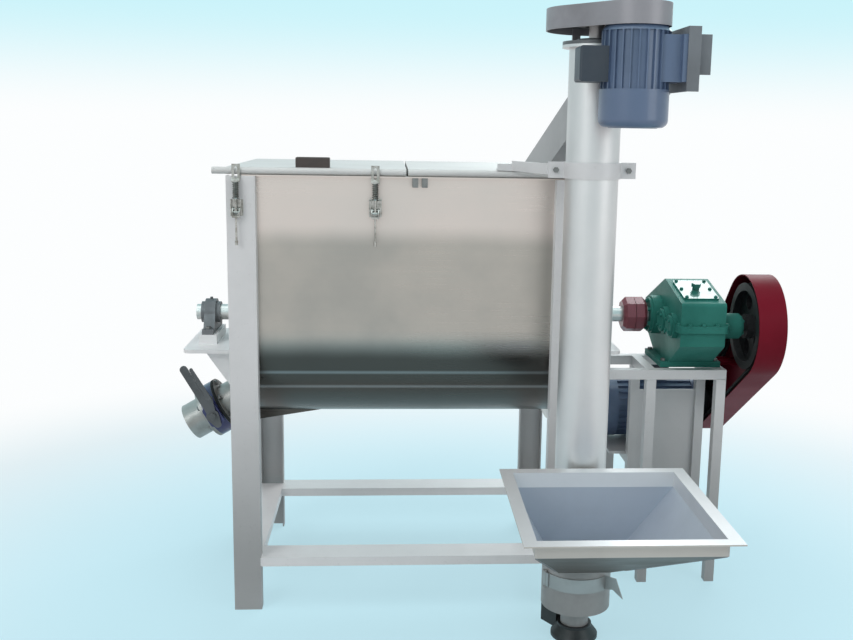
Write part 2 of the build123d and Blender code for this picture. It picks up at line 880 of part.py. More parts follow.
with BuildPart() as mixer_shaft:
    with BuildSketch(shaft_plane):
        Circle(journal_radius)
    extrude(amount=shaft_end + coupling_middle)
    with BuildSketch(shaft_point):
        Circle(core_radius)
    extrude(amount=core_half, both=True)
    for index in range(arm_count):
        turn = 360 * index / (arm_count - 1)
        arm_plane = Plane(
            origin=(ribbon_start + index * arm_step, 0, shaft_height),
            x_dir=(1, 0, 0),
            z_dir=(0, cos(radians(turn)), sin(radians(turn))),
        )
        with BuildSketch(arm_plane):
            Circle(arm_radius)
        extrude(amount=arm_reach, both=True)
    add(outer_ribbons.part, mode=Mode.SUBTRACT)
    add(inner_ribbons.part, mode=Mode.SUBTRACT)
finish(mixer_shaft, "mixer_shaft")

# Coupling: two octagonal halves face to face, keyed to the mixing shaft and the reducer's output shaft
output_end = gear_left + shaft_engagement
coupling_halves = (
    (coupling_middle, -1, journal_radius),
    (coupling_middle + coupling_gap, 1, output_shaft_radius),
)
with BuildPart() as coupling:
    for start, sign, bore in coupling_halves:
        with BuildSketch(shaft_point.offset(start)):
            RegularPolygon(coupling_radius, 8)
        extrude(amount=sign * coupling_length / 2)
        outer_face = coupling.faces().filter_by(Axis.X).sort_by(Axis.X)[0 if sign < 0 else -1]
        chamfer(outer_face.outer_wire().edges(), 12)
        with BuildSketch(shaft_point.offset(start)):
            Circle(bore)
        extrude(amount=sign * coupling_length / 2, mode=Mode.SUBTRACT)
finish(coupling, "coupling")

with BuildPart() as output_shaft:
    with BuildSketch(shaft_point.offset(coupling_middle + coupling_gap)):
        Circle(output_shaft_radius)
    extrude(amount=output_end - coupling_middle - coupling_gap)
finish(output_shaft, "output_shaft")

# Discharge pipe, wafer valve and spout, all square to the sloping discharge axis
pipe_bore = pipe_radius - pipe_wall
half_valve = valve_thickness / 2
seat_outer = pipe_bore + seat_wall
with BuildPart() as discharge_pipe:
    with BuildSketch(discharge.offset(-half_valve)):
        Circle(pipe_radius)
    extrude(amount=-pipe_run)
    with BuildSketch(discharge.offset(-half_valve)):
        Circle(flange_radius)
    extrude(amount=-flange_gauge)
    with BuildSketch(discharge.offset(-half_valve)):
        Circle(pipe_bore)
    extrude(amount=-pipe_run, mode=Mode.SUBTRACT)
    split(bisect_by=Plane.YZ.offset(-shell_half), keep=Keep.BOTTOM)
finish(discharge_pipe, "discharge_pipe")

stem = Plane(origin=(valve_x, 0, valve_height), x_dir=discharge.z_dir, z_dir=(0, -1, 0))
with BuildPart() as valve_body:
    with BuildSketch(discharge):
        Circle(flange_radius)
    extrude(amount=half_valve, both=True)
    with BuildSketch(stem.offset(pipe_radius)):
        Circle(neck_radius)
    extrude(amount=neck_reach - pipe_radius)
    with BuildSketch(stem.offset(neck_reach)):
        RectangleRounded(valve_thickness, 76, 12)
    extrude(amount=-flange_gauge)
    with BuildSketch(discharge):
        Circle(seat_outer)
    extrude(amount=half_valve, both=True, mode=Mode.SUBTRACT)
    with BuildSketch(stem.offset(-pipe_radius - flange_gauge)):
        Circle(stem_radius + run_clear)
    extrude(amount=pipe_radius + flange_gauge + neck_reach, mode=Mode.SUBTRACT)
finish(valve_body, "valve_body")

with BuildPart() as valve_seat:
    with BuildSketch(discharge):
        Circle(seat_outer)
        Circle(pipe_bore, mode=Mode.SUBTRACT)
    extrude(amount=half_valve, both=True)
    with BuildSketch(stem):
        Circle(stem_radius + run_clear)
    extrude(amount=seat_outer, both=True, mode=Mode.SUBTRACT)
finish(valve_seat, "valve_seat")

lever_base = neck_reach + 2
with BuildPart() as valve_disc:
    with BuildSketch(discharge):
        Circle(pipe_bore - body_clear)
    extrude(amount=disc_thickness / 2, both=True)
    with BuildSketch(stem.offset(-pipe_radius - flange_gauge + 1)):
        Circle(stem_radius)
    extrude(amount=pipe_radius + flange_gauge - 1 + lever_base)
finish(valve_disc, "valve_disc")

# Lever: local X points along the outflow, local Y down the slope's normal, so the grip runs to minus Y
trigger_gap = 5
trigger_width = 11
trigger_root = 60
lever_plane = stem.offset(lever_base)
lever_up = lever_plane.y_dir.Z / abs(lever_plane.y_dir.Z)
trigger_x = -lever_width / 2 - trigger_gap - trigger_width / 2
with BuildPart() as valve_lever:
    with BuildSketch(lever_plane):
        Circle(22)
        with Locations((0, -lever_up * 34)):
            Circle(12)
        make_hull()
    extrude(amount=lever_gauge)
    with BuildSketch(lever_plane):
        Circle(lever_width / 2)
        with Locations((0, lever_up * (lever_length - lever_width / 2))):
            Circle(lever_width / 2)
        make_hull()
    extrude(amount=lever_gauge)
    with BuildSketch(lever_plane):
        Circle(lever_width / 2)
        with Locations((trigger_x, lever_up * trigger_root)):
            Circle(9)
        make_hull()
    extrude(amount=lever_gauge)
    with BuildSketch(lever_plane.offset(lever_gauge)):
        with Locations((trigger_x, lever_up * trigger_root)):
            Circle(3)
    extrude(amount=lever_gauge)
    with BuildSketch(lever_plane.offset(lever_gauge)):
        RegularPolygon(13, 6)
    extrude(amount=7)
finish(valve_lever, "valve_lever")

with BuildPart() as valve_trigger:
    with BuildSketch(lever_plane.offset(lever_gauge + body_clear)):
        with Locations((trigger_x, lever_up * trigger_root)):
            Circle(8)
        with Locations((trigger_x, lever_up * (trigger_root + trigger_length))):
            Circle(trigger_width / 2)
        make_hull()
        with Locations((trigger_x, lever_up * trigger_root)):
            Circle(3 + run_clear, mode=Mode.SUBTRACT)
    extrude(amount=lever_gauge - 2 * body_clear)
finish(valve_trigger, "valve_trigger")

with BuildPart() as outlet_spout:
    with BuildSketch(discharge.offset(half_valve)):
        Circle(flange_radius)
    extrude(amount=flange_gauge)
    with BuildSketch(discharge.offset(half_valve)):
        Circle(pipe_radius)
    extrude(amount=spout_reach - half_valve)
    with BuildSketch(discharge.offset(half_valve)):
        Circle(pipe_bore)
    extrude(amount=spout_reach - half_valve, mode=Mode.SUBTRACT)
finish(outlet_spout, "outlet_spout")

# Drive stand of square tube, tied to the right end plate, with a sheet panel between its rear legs
stand_x = stand_left + stand_width / 2
stand_y = stand_front + stand_depth / 2
leg_grid_x = stand_width - stand_bar
leg_grid_y = stand_depth - stand_bar
with BuildPart() as drive_stand:
    with BuildSketch(Plane.XY):
        with Locations((stand_x, stand_y)):
            with GridLocations(leg_grid_x, leg_grid_y, 2, 2):
                Rectangle(stand_bar, stand_bar)
                Rectangle(stand_bore, stand_bore, mode=Mode.SUBTRACT)
    extrude(amount=stand_top - stand_bar)
    with BuildSketch(Plane.XY.offset(stand_top - stand_bar)):
        with Locations(((plate_face + stand_right) / 2, stand_y)):
            with GridLocations(0, leg_grid_y, 1, 2):
                Rectangle(stand_right - plate_face, stand_bar)
        with Locations((stand_x, stand_y)):
            with GridLocations(leg_grid_x, 0, 2, 1):
                Rectangle(stand_bar, stand_depth)
    extrude(amount=stand_bar)
finish(drive_stand, "drive_stand")

panel_y = stand_rear - stand_bar / 2
with BuildPart() as stand_panel:
    with BuildSketch(Plane.XZ.offset(-panel_y)):
        with Locations((stand_x, (panel_low + panel_high) / 2)):
            Rectangle(stand_width - 2 * stand_bar, panel_high - panel_low)
    extrude(amount=panel_gauge)
finish(stand_panel, "stand_panel")

# Reducer: a cast case split at shaft height, with bearing bosses across it
gear_middle = gear_left + gear_width / 2
boss_right = gear_left + gear_width + boss_lip
bosses = (
    (0, output_boss_radius, gear_left - boss_lip, boss_right),
    (idler_y, idler_boss_radius, gear_left - boss_lip / 2, gear_left + gear_width + boss_lip / 2),
    (input_y, input_boss_radius, gear_left - boss_lip / 2, input_boss_end),
)


def case_bosses():
    # The three bearing bosses and the split flange, whole; the case halves cut them at the split.
    for y, radius, left, right in bosses:
        with BuildSketch(Plane.YZ.offset(left)) as section:
            with Locations((y, shaft_height)):
                Circle(radius)
        extrude(section.sketch, amount=right - left)
    with BuildSketch(Plane.XY.offset(shaft_height)) as section:
        with Locations((gear_middle, (gear_front + gear_rear) / 2)):
            RectangleRounded(
                gear_width + 2 * split_flange_lip, gear_rear - gear_front + 2 * split_flange_lip, 20
            )
    extrude(section.sketch, amount=split_flange_gauge, both=True)


def case_bores():
    # Running bores for the output shaft from the left and the input shaft from the right.
    with BuildSketch(Plane.YZ.offset(gear_left - boss_lip)) as section:
        with Locations((0, shaft_height)):
            Circle(output_shaft_radius + run_clear)
    extrude(section.sketch, amount=boss_lip + shaft_engagement + 1, mode=Mode.SUBTRACT)
    with BuildSketch(Plane.YZ.offset(input_boss_end)) as section:
        with Locations((input_y, shaft_height)):
            Circle(input_shaft_radius + run_clear)
    extrude(section.sketch, amount=-shaft_engagement - 1, mode=Mode.SUBTRACT)


with BuildPart() as gearbox_lower_case:
    with BuildSketch(Plane.YZ.offset(gear_left)):
        with BuildLine():
            Polyline(
                (gear_front, shaft_height),
                (gear_front, shaft_height - gear_shoulder),
                (gear_foot_front, stand_top + gear_foot_gauge),
                (gear_foot_front, stand_top),
                (gear_foot_rear, stand_top),
                (gear_foot_rear, stand_top + gear_foot_gauge),
                (gear_rear, shaft_height - gear_shoulder),
                (gear_rear, shaft_height),
                close=True,
            )
        make_face()
    extrude(amount=gear_width)
    case_bosses()
    with BuildSketch(Plane.XY.offset(stand_top)):
        with Locations((gear_middle, (gear_foot_front + gear_foot_rear) / 2)):
            Rectangle(gear_width + 60, gear_foot_rear - gear_foot_front)
    extrude(amount=gear_foot_gauge)
    split(bisect_by=Plane.XY.offset(shaft_height), keep=Keep.BOTTOM)
    case_bores()
finish(gearbox_lower_case, "gearbox_lower_case")

with BuildPart() as gearbox_upper_case:
    with BuildSketch(Plane.YZ.offset(gear_left)):
        with BuildLine():
            Polyline(
                (gear_front, shaft_height),
                (gear_front, shaft_height + gear_front_rise),
                (gear_ridge_y, shaft_height + gear_ridge_rise),
                (gear_rear, shaft_height + gear_rear_rise),
                (gear_rear, shaft_height),
                close=True,
            )
        make_face()
    extrude(amount=gear_width)
    roof_edges = gearbox_upper_case.edges().filter_by(Axis.X).sort_by(Axis.Z)
    fillet(roof_edges[-2:], 14)
    case_bosses()
    split(bisect_by=Plane.XY.offset(shaft_height), keep=Keep.TOP)
    case_bores()
finish(gearbox_upper_case, "gearbox_upper_case")

roof_vector = Vector(0, gear_front - gear_ridge_y, gear_front_rise - gear_ridge_rise)
roof_rise = (gear_front_rise + gear_ridge_rise) / 2
roof_middle = Vector(gear_middle, (gear_front + gear_ridge_y) / 2, shaft_height + roof_rise)
roof = Plane(origin=roof_middle, x_dir=(1, 0, 0), z_dir=roof_vector.cross(Vector(1, 0, 0)))
with BuildPart() as inspection_cover:
    with BuildSketch(roof):
        RectangleRounded(gear_width - 34, roof_vector.length - 70, 8)
    extrude(amount=7)
    with BuildSketch(roof.offset(7)):
        Circle(12)
    extrude(amount=10)
    with BuildSketch(roof.offset(17)):
        RegularPolygon(17, 6)
    extrude(amount=14)
finish(inspection_cover, "inspection_cover")

with BuildPart() as bearing_caps:
    for y, radius, left, right in bosses:
        for face, sign in ((left, -1), (right, 1)):
            with BuildSketch(Plane.YZ.offset(face)):
                with Locations((y, shaft_height)):
                    Circle(radius - 8)
            extrude(amount=sign * cap_gauge)
    for y, face, sign, bore in (
        (0, gear_left - boss_lip, -1, output_shaft_radius),
        (input_y, input_boss_end, 1, input_shaft_radius),
    ):
        with BuildSketch(Plane.YZ.offset(face)):
            with Locations((y, shaft_height)):
                Circle(bore + run_clear)
        extrude(amount=sign * cap_gauge, mode=Mode.SUBTRACT)
finish(bearing_caps, "bearing_caps")

# Belt drive: large spoked pulley on the input shaft, small pulley on the motor shaft, belts and guard
input_plane = Plane(origin=(pulley_left, input_y, shaft_height), x_dir=(1, 0, 0), z_dir=(0, -1, 0))
motor_plane = Plane(origin=(pulley_left, motor_y, motor_axis_height), x_dir=(1, 0, 0), z_dir=(0, -1, 0))
rim_inner = large_pulley_radius - groove_depth - 16
hub_radius = 42
web_gauge = 20
spoke_hole = 26
spoke_ring = (rim_inner + hub_radius) / 2
with BuildPart() as large_pulley:
    grooved_disc(input_plane, large_pulley_radius, pulley_width, belt_count, input_shaft_radius - 1)
    for face, sign in ((pulley_left, 1), (pulley_right, -1)):
        with BuildSketch(Plane.YZ.offset(face)):
            with Locations((input_y, shaft_height)):
                Circle(rim_inner)
                Circle(hub_radius, mode=Mode.SUBTRACT)
        extrude(amount=sign * (pulley_width - web_gauge) / 2, mode=Mode.SUBTRACT)
    with BuildSketch(Plane.YZ.offset(pulley_left)):
        with Locations((input_y, shaft_height)):
            with PolarLocations(spoke_ring, 5):
                Circle(spoke_hole)
    extrude(amount=pulley_width, mode=Mode.SUBTRACT)
    with BuildSketch(Plane.YZ.offset(input_boss_end - shaft_engagement)):
        with Locations((input_y, shaft_height)):
            Circle(input_shaft_radius)
    extrude(amount=pulley_right + 6 - input_boss_end + shaft_engagement)
finish(large_pulley, "large_pulley")

rotor_reach = 60
with BuildPart() as motor_pulley:
    grooved_disc(motor_plane, motor_pulley_radius, pulley_width, belt_count, motor_shaft_radius - 1)
    with BuildSketch(Plane.YZ.offset(motor_face - rotor_reach)):
        with Locations((motor_y, motor_axis_height)):
            Circle(motor_shaft_radius)
    extrude(amount=pulley_right + 4 - motor_face + rotor_reach)
finish(motor_pulley, "motor_pulley")

drive_far = (motor_y - input_y, motor_axis_height - shaft_height)
first_belt = pulley_left + (pulley_width - (belt_count - 1) * belt_pitch) / 2 - belt_width / 2
with BuildPart() as drive_belts:
    for index in range(belt_count):
        belt_plane = Plane(
            origin=(first_belt + index * belt_pitch, input_y, shaft_height),
            x_dir=(0, 1, 0),
            z_dir=(1, 0, 0),
        )
        belt_loop(belt_plane, belt_width, drive_far, large_pulley_radius, motor_pulley_radius)
finish(drive_belts, "drive_belts")

guard_plane = Plane(origin=(guard_left, input_y, shaft_height), x_dir=(0, 1, 0), z_dir=(1, 0, 0))
guard_posts = ((-12, stand_top - stand_bar / 2), (38, stand_top - stand_bar / 2))
with BuildPart() as belt_guard:
    guard_pan(
        guard_plane, guard_right - guard_left, drive_far, guard_radius, guard_small_radius, guard_wall
    )
    with BuildSketch(Plane.YZ.offset(stand_right)):
        with Locations(*guard_posts):
            Circle(10)
    extrude(amount=guard_right - guard_wall - stand_right)
finish(belt_guard, "belt_guard")

# Main motor: ribbed frame with feet, fan cover and terminal box, on a base behind the stand
motor_axis_plane = Plane(
    origin=(motor_frame_left, motor_y, motor_axis_height),
    x_dir=(0, 1, 0),
    z_dir=(1, 0, 0),
)
foot_width = 56
frame_length_x = motor_frame_right - motor_frame_left
motor_foot_x = motor_frame_left + frame_length_x / 2
with BuildPart() as main_motor:
    finned_frame(
        motor_axis_plane, motor_radius, motor_fin_radius, motor_fin_count, motor_fin_gauge, frame_length_x
    )
    with BuildSketch(motor_axis_plane.offset(frame_length_x)):
        Circle(motor_fin_radius)
    extrude(amount=(motor_face - motor_frame_right) / 2, taper=8)
    with BuildSketch(motor_axis_plane.offset(frame_length_x)):
        Circle(motor_radius / 2)
    extrude(amount=motor_face - motor_frame_right)
    with BuildSketch(Plane.YZ.offset(motor_foot_x)):
        with Locations((motor_y, base_top + 7)):
            Rectangle(motor_foot_spread + foot_width, 14)
        with BuildLine():
            Polyline(
                (motor_y - motor_foot_spread / 2, base_top + 14),
                (motor_y + motor_foot_spread / 2, base_top + 14),
                (motor_y + motor_radius * 0.8, motor_axis_height - motor_radius / 2),
                (motor_y - motor_radius * 0.8, motor_axis_height - motor_radius / 2),
                close=True,
            )
        make_face()
    extrude(amount=motor_foot_length / 2, both=True)
    with BuildSketch(Plane.YZ.offset(motor_face)):
        with Locations((motor_y, motor_axis_height)):
            Circle(motor_shaft_radius + run_clear)
    extrude(amount=-rotor_reach - 1, mode=Mode.SUBTRACT)
finish(main_motor, "main_motor")

with BuildPart() as main_motor_fan_cover:
    with BuildSketch(motor_axis_plane):
        Circle(motor_fin_radius + 2)
    extrude(amount=motor_fan_left - motor_frame_left)
    fillet(main_motor_fan_cover.edges().sort_by(Axis.X)[0], 26)
finish(main_motor_fan_cover, "main_motor_fan_cover")

box_seat = motor_axis_height + motor_fin_radius
with BuildPart() as main_motor_terminal_box:
    with BuildSketch(Plane.XY.offset(box_seat - 12)):
        with Locations((motor_foot_x, motor_y)):
            Rectangle(90, 80)
    extrude(amount=22)
    with BuildSketch(Plane.XY.offset(box_seat + 10)):
        with Locations((motor_foot_x, motor_y)):
            RectangleRounded(120, 110, 12)
    extrude(amount=52)
    with BuildSketch(motor_axis_plane):
        Circle(motor_fin_radius + weld_gap)
    extrude(amount=frame_length_x, mode=Mode.SUBTRACT)
finish(main_motor_terminal_box, "main_motor_terminal_box")

base_beam = stand_bar
with BuildPart() as motor_base:
    with BuildSketch(Plane.XY.offset(base_top - base_gauge)):
        with Locations(((base_left + stand_right) / 2, (stand_rear + base_rear) / 2)):
            Rectangle(stand_right - base_left, base_rear - stand_rear)
    extrude(amount=base_gauge)
    with BuildSketch(Plane.XY.offset(base_top - base_gauge - base_beam)):
        with Locations((stand_x, (stand_rear + base_rear) / 2)):
            with GridLocations(leg_grid_x, 0, 2, 1):
                Rectangle(stand_bar, base_rear - stand_rear)
    extrude(amount=base_beam)
    with BuildSketch(Plane.XY):
        with Locations((stand_x, base_rear - stand_bar / 2)):
            with GridLocations(leg_grid_x, 0, 2, 1):
                Rectangle(stand_bar, stand_bar)
                Rectangle(stand_bore, stand_bore, mode=Mode.SUBTRACT)
    extrude(amount=base_top - base_gauge - base_beam)
    with BuildSketch(Plane.XY.offset(base_top)):
        with Locations((motor_foot_x, motor_y)):
            with GridLocations(motor_foot_length - 40, motor_foot_spread, 2, 2):
                SlotOverall(50, 14, rotation=90)
    extrude(amount=-base_gauge, mode=Mode.SUBTRACT)
finish(motor_base, "motor_base")

# Feeder: tube on a wide boot, with the screw running from the boot to the drive head
feeder = Plane(origin=(feeder_x, feeder_y, 0))
with BuildPart() as auger_tube:
    with BuildSketch(feeder.offset(boot_top)):
        Circle(tube_radius)
    extrude(amount=tube_top - boot_top)
    with BuildSketch(feeder.offset(tube_top)):
        Circle(tube_flange_radius)
    extrude(amount=-8)
    with BuildSketch(feeder.offset(boot_top)):
        Circle(tube_inner)
    extrude(amount=tube_top - boot_top, mode=Mode.SUBTRACT)
    chute_core(chute)
finish(auger_tube, "auger_tube")

bearing_top = top_guard_low - bearing_drop
with BuildPart() as auger_bearing:
    with BuildSketch(feeder.offset(tube_top)):
        Circle(tube_flange_radius)
    extrude(amount=bearing_flange)
    with BuildSketch(feeder.offset(tube_top + bearing_flange)):
        Circle(bearing_hub_radius)
    extrude(amount=bearing_top - tube_top - bearing_flange, taper=10)
    with BuildSketch(feeder.offset(tube_top)):
        Circle(screw_shaft_radius + run_clear)
    extrude(amount=bearing_top - tube_top, mode=Mode.SUBTRACT)
finish(auger_bearing, "auger_bearing")

screw_inner = screw_shaft_radius + 0.2
with BuildPart() as auger_screw:
    with BuildLine() as flight_route:
        Helix(
            screw_pitch,
            screw_high - screw_low,
            (screw_radius + screw_inner) / 2,
            center=(feeder_x, feeder_y, screw_low),
        )
    with BuildSketch(Plane(origin=flight_route.line @ 0, x_dir=(1, 0, 0), z_dir=flight_route.line % 0)):
        Rectangle(screw_radius - screw_inner, screw_gauge)
    sweep(path=flight_route.line, is_frenet=True)
    with BuildSketch(feeder.offset(spigot_bottom + 20)):
        Circle(screw_shaft_radius)
    extrude(amount=screw_end - spigot_bottom - 20)
finish(auger_screw, "auger_screw")

boot_plate = 6
window_half = 46
pin_angle = radians(cleanout_start - 8)
pin_ring = boot_radius + 5.6
cleanout_pin = (pin_ring * cos(pin_angle), pin_ring * sin(pin_angle))
pin_lug = 7
lug_gauge = 5
with BuildPart() as boot:
    with BuildSketch(feeder.offset(boot_bottom)):
        Circle(boot_radius)
    extrude(amount=boot_top - boot_bottom)
    with BuildSketch(feeder.offset(boot_bottom + boot_plate)):
        Circle(boot_radius - boot_wall)
    extrude(amount=boot_top - boot_bottom - 2 * boot_plate, mode=Mode.SUBTRACT)
    with BuildSketch(feeder.offset(boot_top)):
        Circle(tube_inner)
    extrude(amount=-2 * boot_plate, mode=Mode.SUBTRACT)
    with BuildSketch(Plane.XZ.offset(-feeder_y)):
        with Locations((feeder_x, (throat_bottom + boot_top - boot_plate) / 2 + hopper_wall)):
            Rectangle(2 * window_half, boot_top - boot_plate - throat_bottom - 4 * hopper_wall)
    extrude(amount=2 * boot_radius, mode=Mode.SUBTRACT)
    with BuildSketch(feeder.offset(spigot_bottom)):
        Circle(spigot_radius)
    extrude(amount=boot_bottom - spigot_bottom)
    with BuildSketch(feeder.offset(spigot_bottom + 20)):
        Circle(screw_shaft_radius + run_clear)
    extrude(amount=boot_bottom + boot_plate - spigot_bottom - 20, mode=Mode.SUBTRACT)
    for low in (cleanout_low - lug_gauge - body_clear, cleanout_high + body_clear):
        with BuildSketch(feeder.offset(low)):
            with Locations(cleanout_pin):
                Circle(pin_lug)
            Circle(boot_radius - boot_wall / 2, mode=Mode.SUBTRACT)
        extrude(amount=lug_gauge)
    with BuildSketch(feeder.offset(cleanout_low - body_clear)):
        with Locations(cleanout_pin):
            Circle(cleanout_pin_radius)
    extrude(amount=cleanout_high - cleanout_low + 2 * body_clear)
finish(boot, "boot")

cover_inner = boot_radius + body_clear
tab_angle = radians(cleanout_start + cleanout_sweep)
tab_plane = Plane(
    origin=(feeder_x, feeder_y, 0),
    x_dir=(cos(tab_angle), sin(tab_angle), 0),
    z_dir=(sin(tab_angle), -cos(tab_angle), 0),
)
with BuildPart() as cleanout_cover:
    with BuildSketch(feeder.offset(cleanout_low)):
        with BuildLine():
            CenterArc((0, 0), cover_inner, cleanout_start, cleanout_sweep)
            CenterArc((0, 0), cover_inner + cleanout_gauge, cleanout_start, cleanout_sweep)
            for angle in (cleanout_start, cleanout_start + cleanout_sweep):
                direction = Vector(1, 0, 0).rotate(Axis.Z, angle)
                Line(direction * cover_inner, direction * (cover_inner + cleanout_gauge))
        make_face()
        with BuildLine():
            for radius in (cover_inner + 1, cover_inner + cleanout_gauge + 4):
                CenterArc((0, 0), radius, cleanout_start - 8, 9)
            for angle in (cleanout_start - 8, cleanout_start + 1):
                direction = Vector(1, 0, 0).rotate(Axis.Z, angle)
                Line(direction * (cover_inner + 1), direction * (cover_inner + cleanout_gauge + 4))
        make_face()
        with Locations(cleanout_pin):
            Circle(pin_ring - boot_radius - body_clear)
            Circle(cleanout_pin_radius + run_clear, mode=Mode.SUBTRACT)
        Circle(cover_inner, mode=Mode.SUBTRACT)
    extrude(amount=cleanout_high - cleanout_low)
    with BuildSketch(tab_plane):
        with BuildLine():
            Polyline(
                (cover_inner + 0.5, cleanout_high),
                (cover_inner + cleanout_tab * 0.6, cleanout_high + 2),
                (cover_inner + cleanout_tab, cleanout_low - 12),
                (cover_inner + cleanout_tab * 0.45, cleanout_low + 8),
                (cover_inner + 0.5, cleanout_low),
                close=True,
            )
        make_face()
    extrude(amount=cleanout_gauge)
finish(cleanout_cover, "cleanout_cover")

stay_angle = radians(stay_bearing)
stay_plane = Plane(
    origin=(feeder_x, feeder_y, 0),
    x_dir=(cos(stay_angle), sin(stay_angle), 0),
    z_dir=(0, 0, 1),
)
foot_profile = Plane(origin=(feeder_x, feeder_y, 0), x_dir=(1, 0, 0), z_dir=(0, -1, 0))
with BuildPart() as feeder_foot:
    with BuildSketch(foot_profile):
        with BuildLine():
            Polyline(
                (0, 0),
                (foot_radius, 0),
                (foot_radius, 10),
                (spigot_radius + 10, spigot_bottom - 8),
                (spigot_radius + 10, spigot_bottom),
                (0, spigot_bottom),
                close=True,
            )
        make_face()
    revolve(axis=Axis(foot_profile.origin, (0, 0, 1)))
    with BuildSketch(stay_plane):
        with Locations((spigot_radius + 20 + stay_length / 2, 0)):
            Rectangle(stay_length, stay_width)
    extrude(amount=boot_bottom)
finish(feeder_foot, "feeder_foot")

# Hopper: flanged rim, straight skirt, and an off-centre pyramid that ends at the boot's front window
hopper_x = hopper_left + hopper_length / 2
hopper_y = hopper_front + hopper_depth / 2
throat_y = feeder_y - boot_radius + throat_overlap - throat_depth / 2


def hopper_shape(inset, mode):
    # The skirt and the pyramid below it, drawn in by a wall thickness for the inside.
    mouth_length = hopper_length - 2 * hopper_lip - 2 * inset
    mouth_depth = hopper_depth - 2 * hopper_lip - 2 * inset
    with BuildSketch(Plane.XY.offset(skirt_bottom)) as wide:
        with Locations((hopper_x, hopper_y)):
            Rectangle(mouth_length, mouth_depth)
    extrude(wide.sketch, amount=hopper_skirt, mode=mode)
    with BuildSketch(Plane.XY.offset(throat_bottom + inset)) as narrow:
        with Locations((feeder_x, throat_y)):
            Rectangle(throat_width - 2 * inset, throat_depth - 2 * inset)
    loft(sections=[wide.sketch.faces()[0], narrow.sketch.faces()[0]], ruled=True, mode=mode)


with BuildPart() as hopper:
    hopper_shape(0, Mode.ADD)
    with BuildSketch(Plane.XY.offset(hopper_top)):
        with Locations((hopper_x, hopper_y)):
            Rectangle(hopper_length, hopper_depth)
    extrude(amount=-hopper_rim)
    hopper_shape(hopper_wall, Mode.SUBTRACT)
    with BuildSketch(feeder.offset(boot_bottom)):
        Circle(boot_radius)
    extrude(amount=boot_top - boot_bottom, mode=Mode.SUBTRACT)
finish(hopper, "hopper")

# Feeder head: belt-driven from a vertical motor on a bracket welded to the tube
auger_motor_plane = Plane(origin=(auger_motor_x, auger_motor_y, 0))
auger_rotor_reach = 50
with BuildPart() as auger_motor:
    finned_frame(
        auger_motor_plane.offset(auger_fan_top), auger_motor_radius, auger_motor_fin_radius, 26, 4,
        auger_frame_top - auger_fan_top,
    )
    with BuildSketch(auger_motor_plane.offset(auger_frame_top)):
        Circle(auger_motor_fin_radius)
    extrude(amount=auger_motor_face - auger_frame_top, taper=30)
    with BuildSketch(Plane.XY.offset(auger_fan_top + 20)):
        with Locations((bracket_face - 6, auger_motor_y)):
            Rectangle(12, 170)
        for side in (-1, 1):
            with Locations((bracket_face - 40, auger_motor_y + side * 62)):
                Rectangle(80, 12)
    extrude(amount=auger_frame_top - auger_fan_top - 30)
    with BuildSketch(auger_motor_plane.offset(auger_motor_face)):
        Circle(auger_shaft_radius + run_clear)
    extrude(amount=-auger_rotor_reach - 1, mode=Mode.SUBTRACT)
finish(auger_motor, "auger_motor")

with BuildPart() as auger_motor_fan_cover:
    with BuildSketch(auger_motor_plane.offset(auger_fan_top)):
        Circle(auger_motor_fin_radius + 2)
    extrude(amount=auger_motor_low - auger_fan_top)
    fillet(auger_motor_fan_cover.edges().sort_by(Axis.Z)[0], 22)
finish(auger_motor_fan_cover, "auger_motor_fan_cover")

with BuildPart() as auger_motor_terminal_box:
    with BuildSketch(Plane.XY.offset(auger_fan_top + 18)):
        with Locations((auger_motor_x - auger_motor_fin_radius - auger_box_reach / 2 + 8, auger_motor_y)):
            Rectangle(auger_box_reach + 16, 92)
    extrude(amount=auger_box_height)
    outer_edges = auger_motor_terminal_box.faces().sort_by(Axis.X)[0].edges()
    fillet(outer_edges, 8)
    with BuildSketch(auger_motor_plane.offset(auger_fan_top)):
        Circle(auger_motor_fin_radius + weld_gap)
    extrude(amount=auger_frame_top - auger_fan_top, mode=Mode.SUBTRACT)
finish(auger_motor_terminal_box, "auger_motor_terminal_box")

web_front = auger_motor_y - 90
web_rear = feeder_y + 20
arm_gauge = 8
with BuildPart() as auger_motor_bracket:
    with BuildSketch(Plane.XY.offset(bracket_low)):
        with Locations((bracket_face + bracket_flange / 2, (web_front + web_rear) / 2)):
            Rectangle(bracket_flange, web_rear - web_front)
        with Locations((bracket_face + bracket_flange / 2 + bracket_gauge, (web_front + web_rear) / 2)):
            Rectangle(bracket_flange, web_rear - web_front - 2 * bracket_gauge, mode=Mode.SUBTRACT)
    extrude(amount=bracket_high - bracket_low)
    with BuildSketch(Plane.XY.offset(bracket_low + 46)):
        with Locations((bracket_face + bracket_gauge + 33, web_front + 30)):
            Rectangle(66, bracket_gauge)
    extrude(amount=107)
    for low in (bracket_low + bracket_arm_rise, tube_top - bracket_arm_drop):
        with BuildSketch(Plane.XY.offset(low)):
            with Locations(((feeder_x + bracket_face) / 2, feeder_y - 10)):
                Rectangle(bracket_face - feeder_x, 56)
            with Locations((feeder_x, feeder_y)):
                Circle(tube_radius, mode=Mode.SUBTRACT)
        extrude(amount=arm_gauge)
finish(auger_motor_bracket, "auger_motor_bracket")

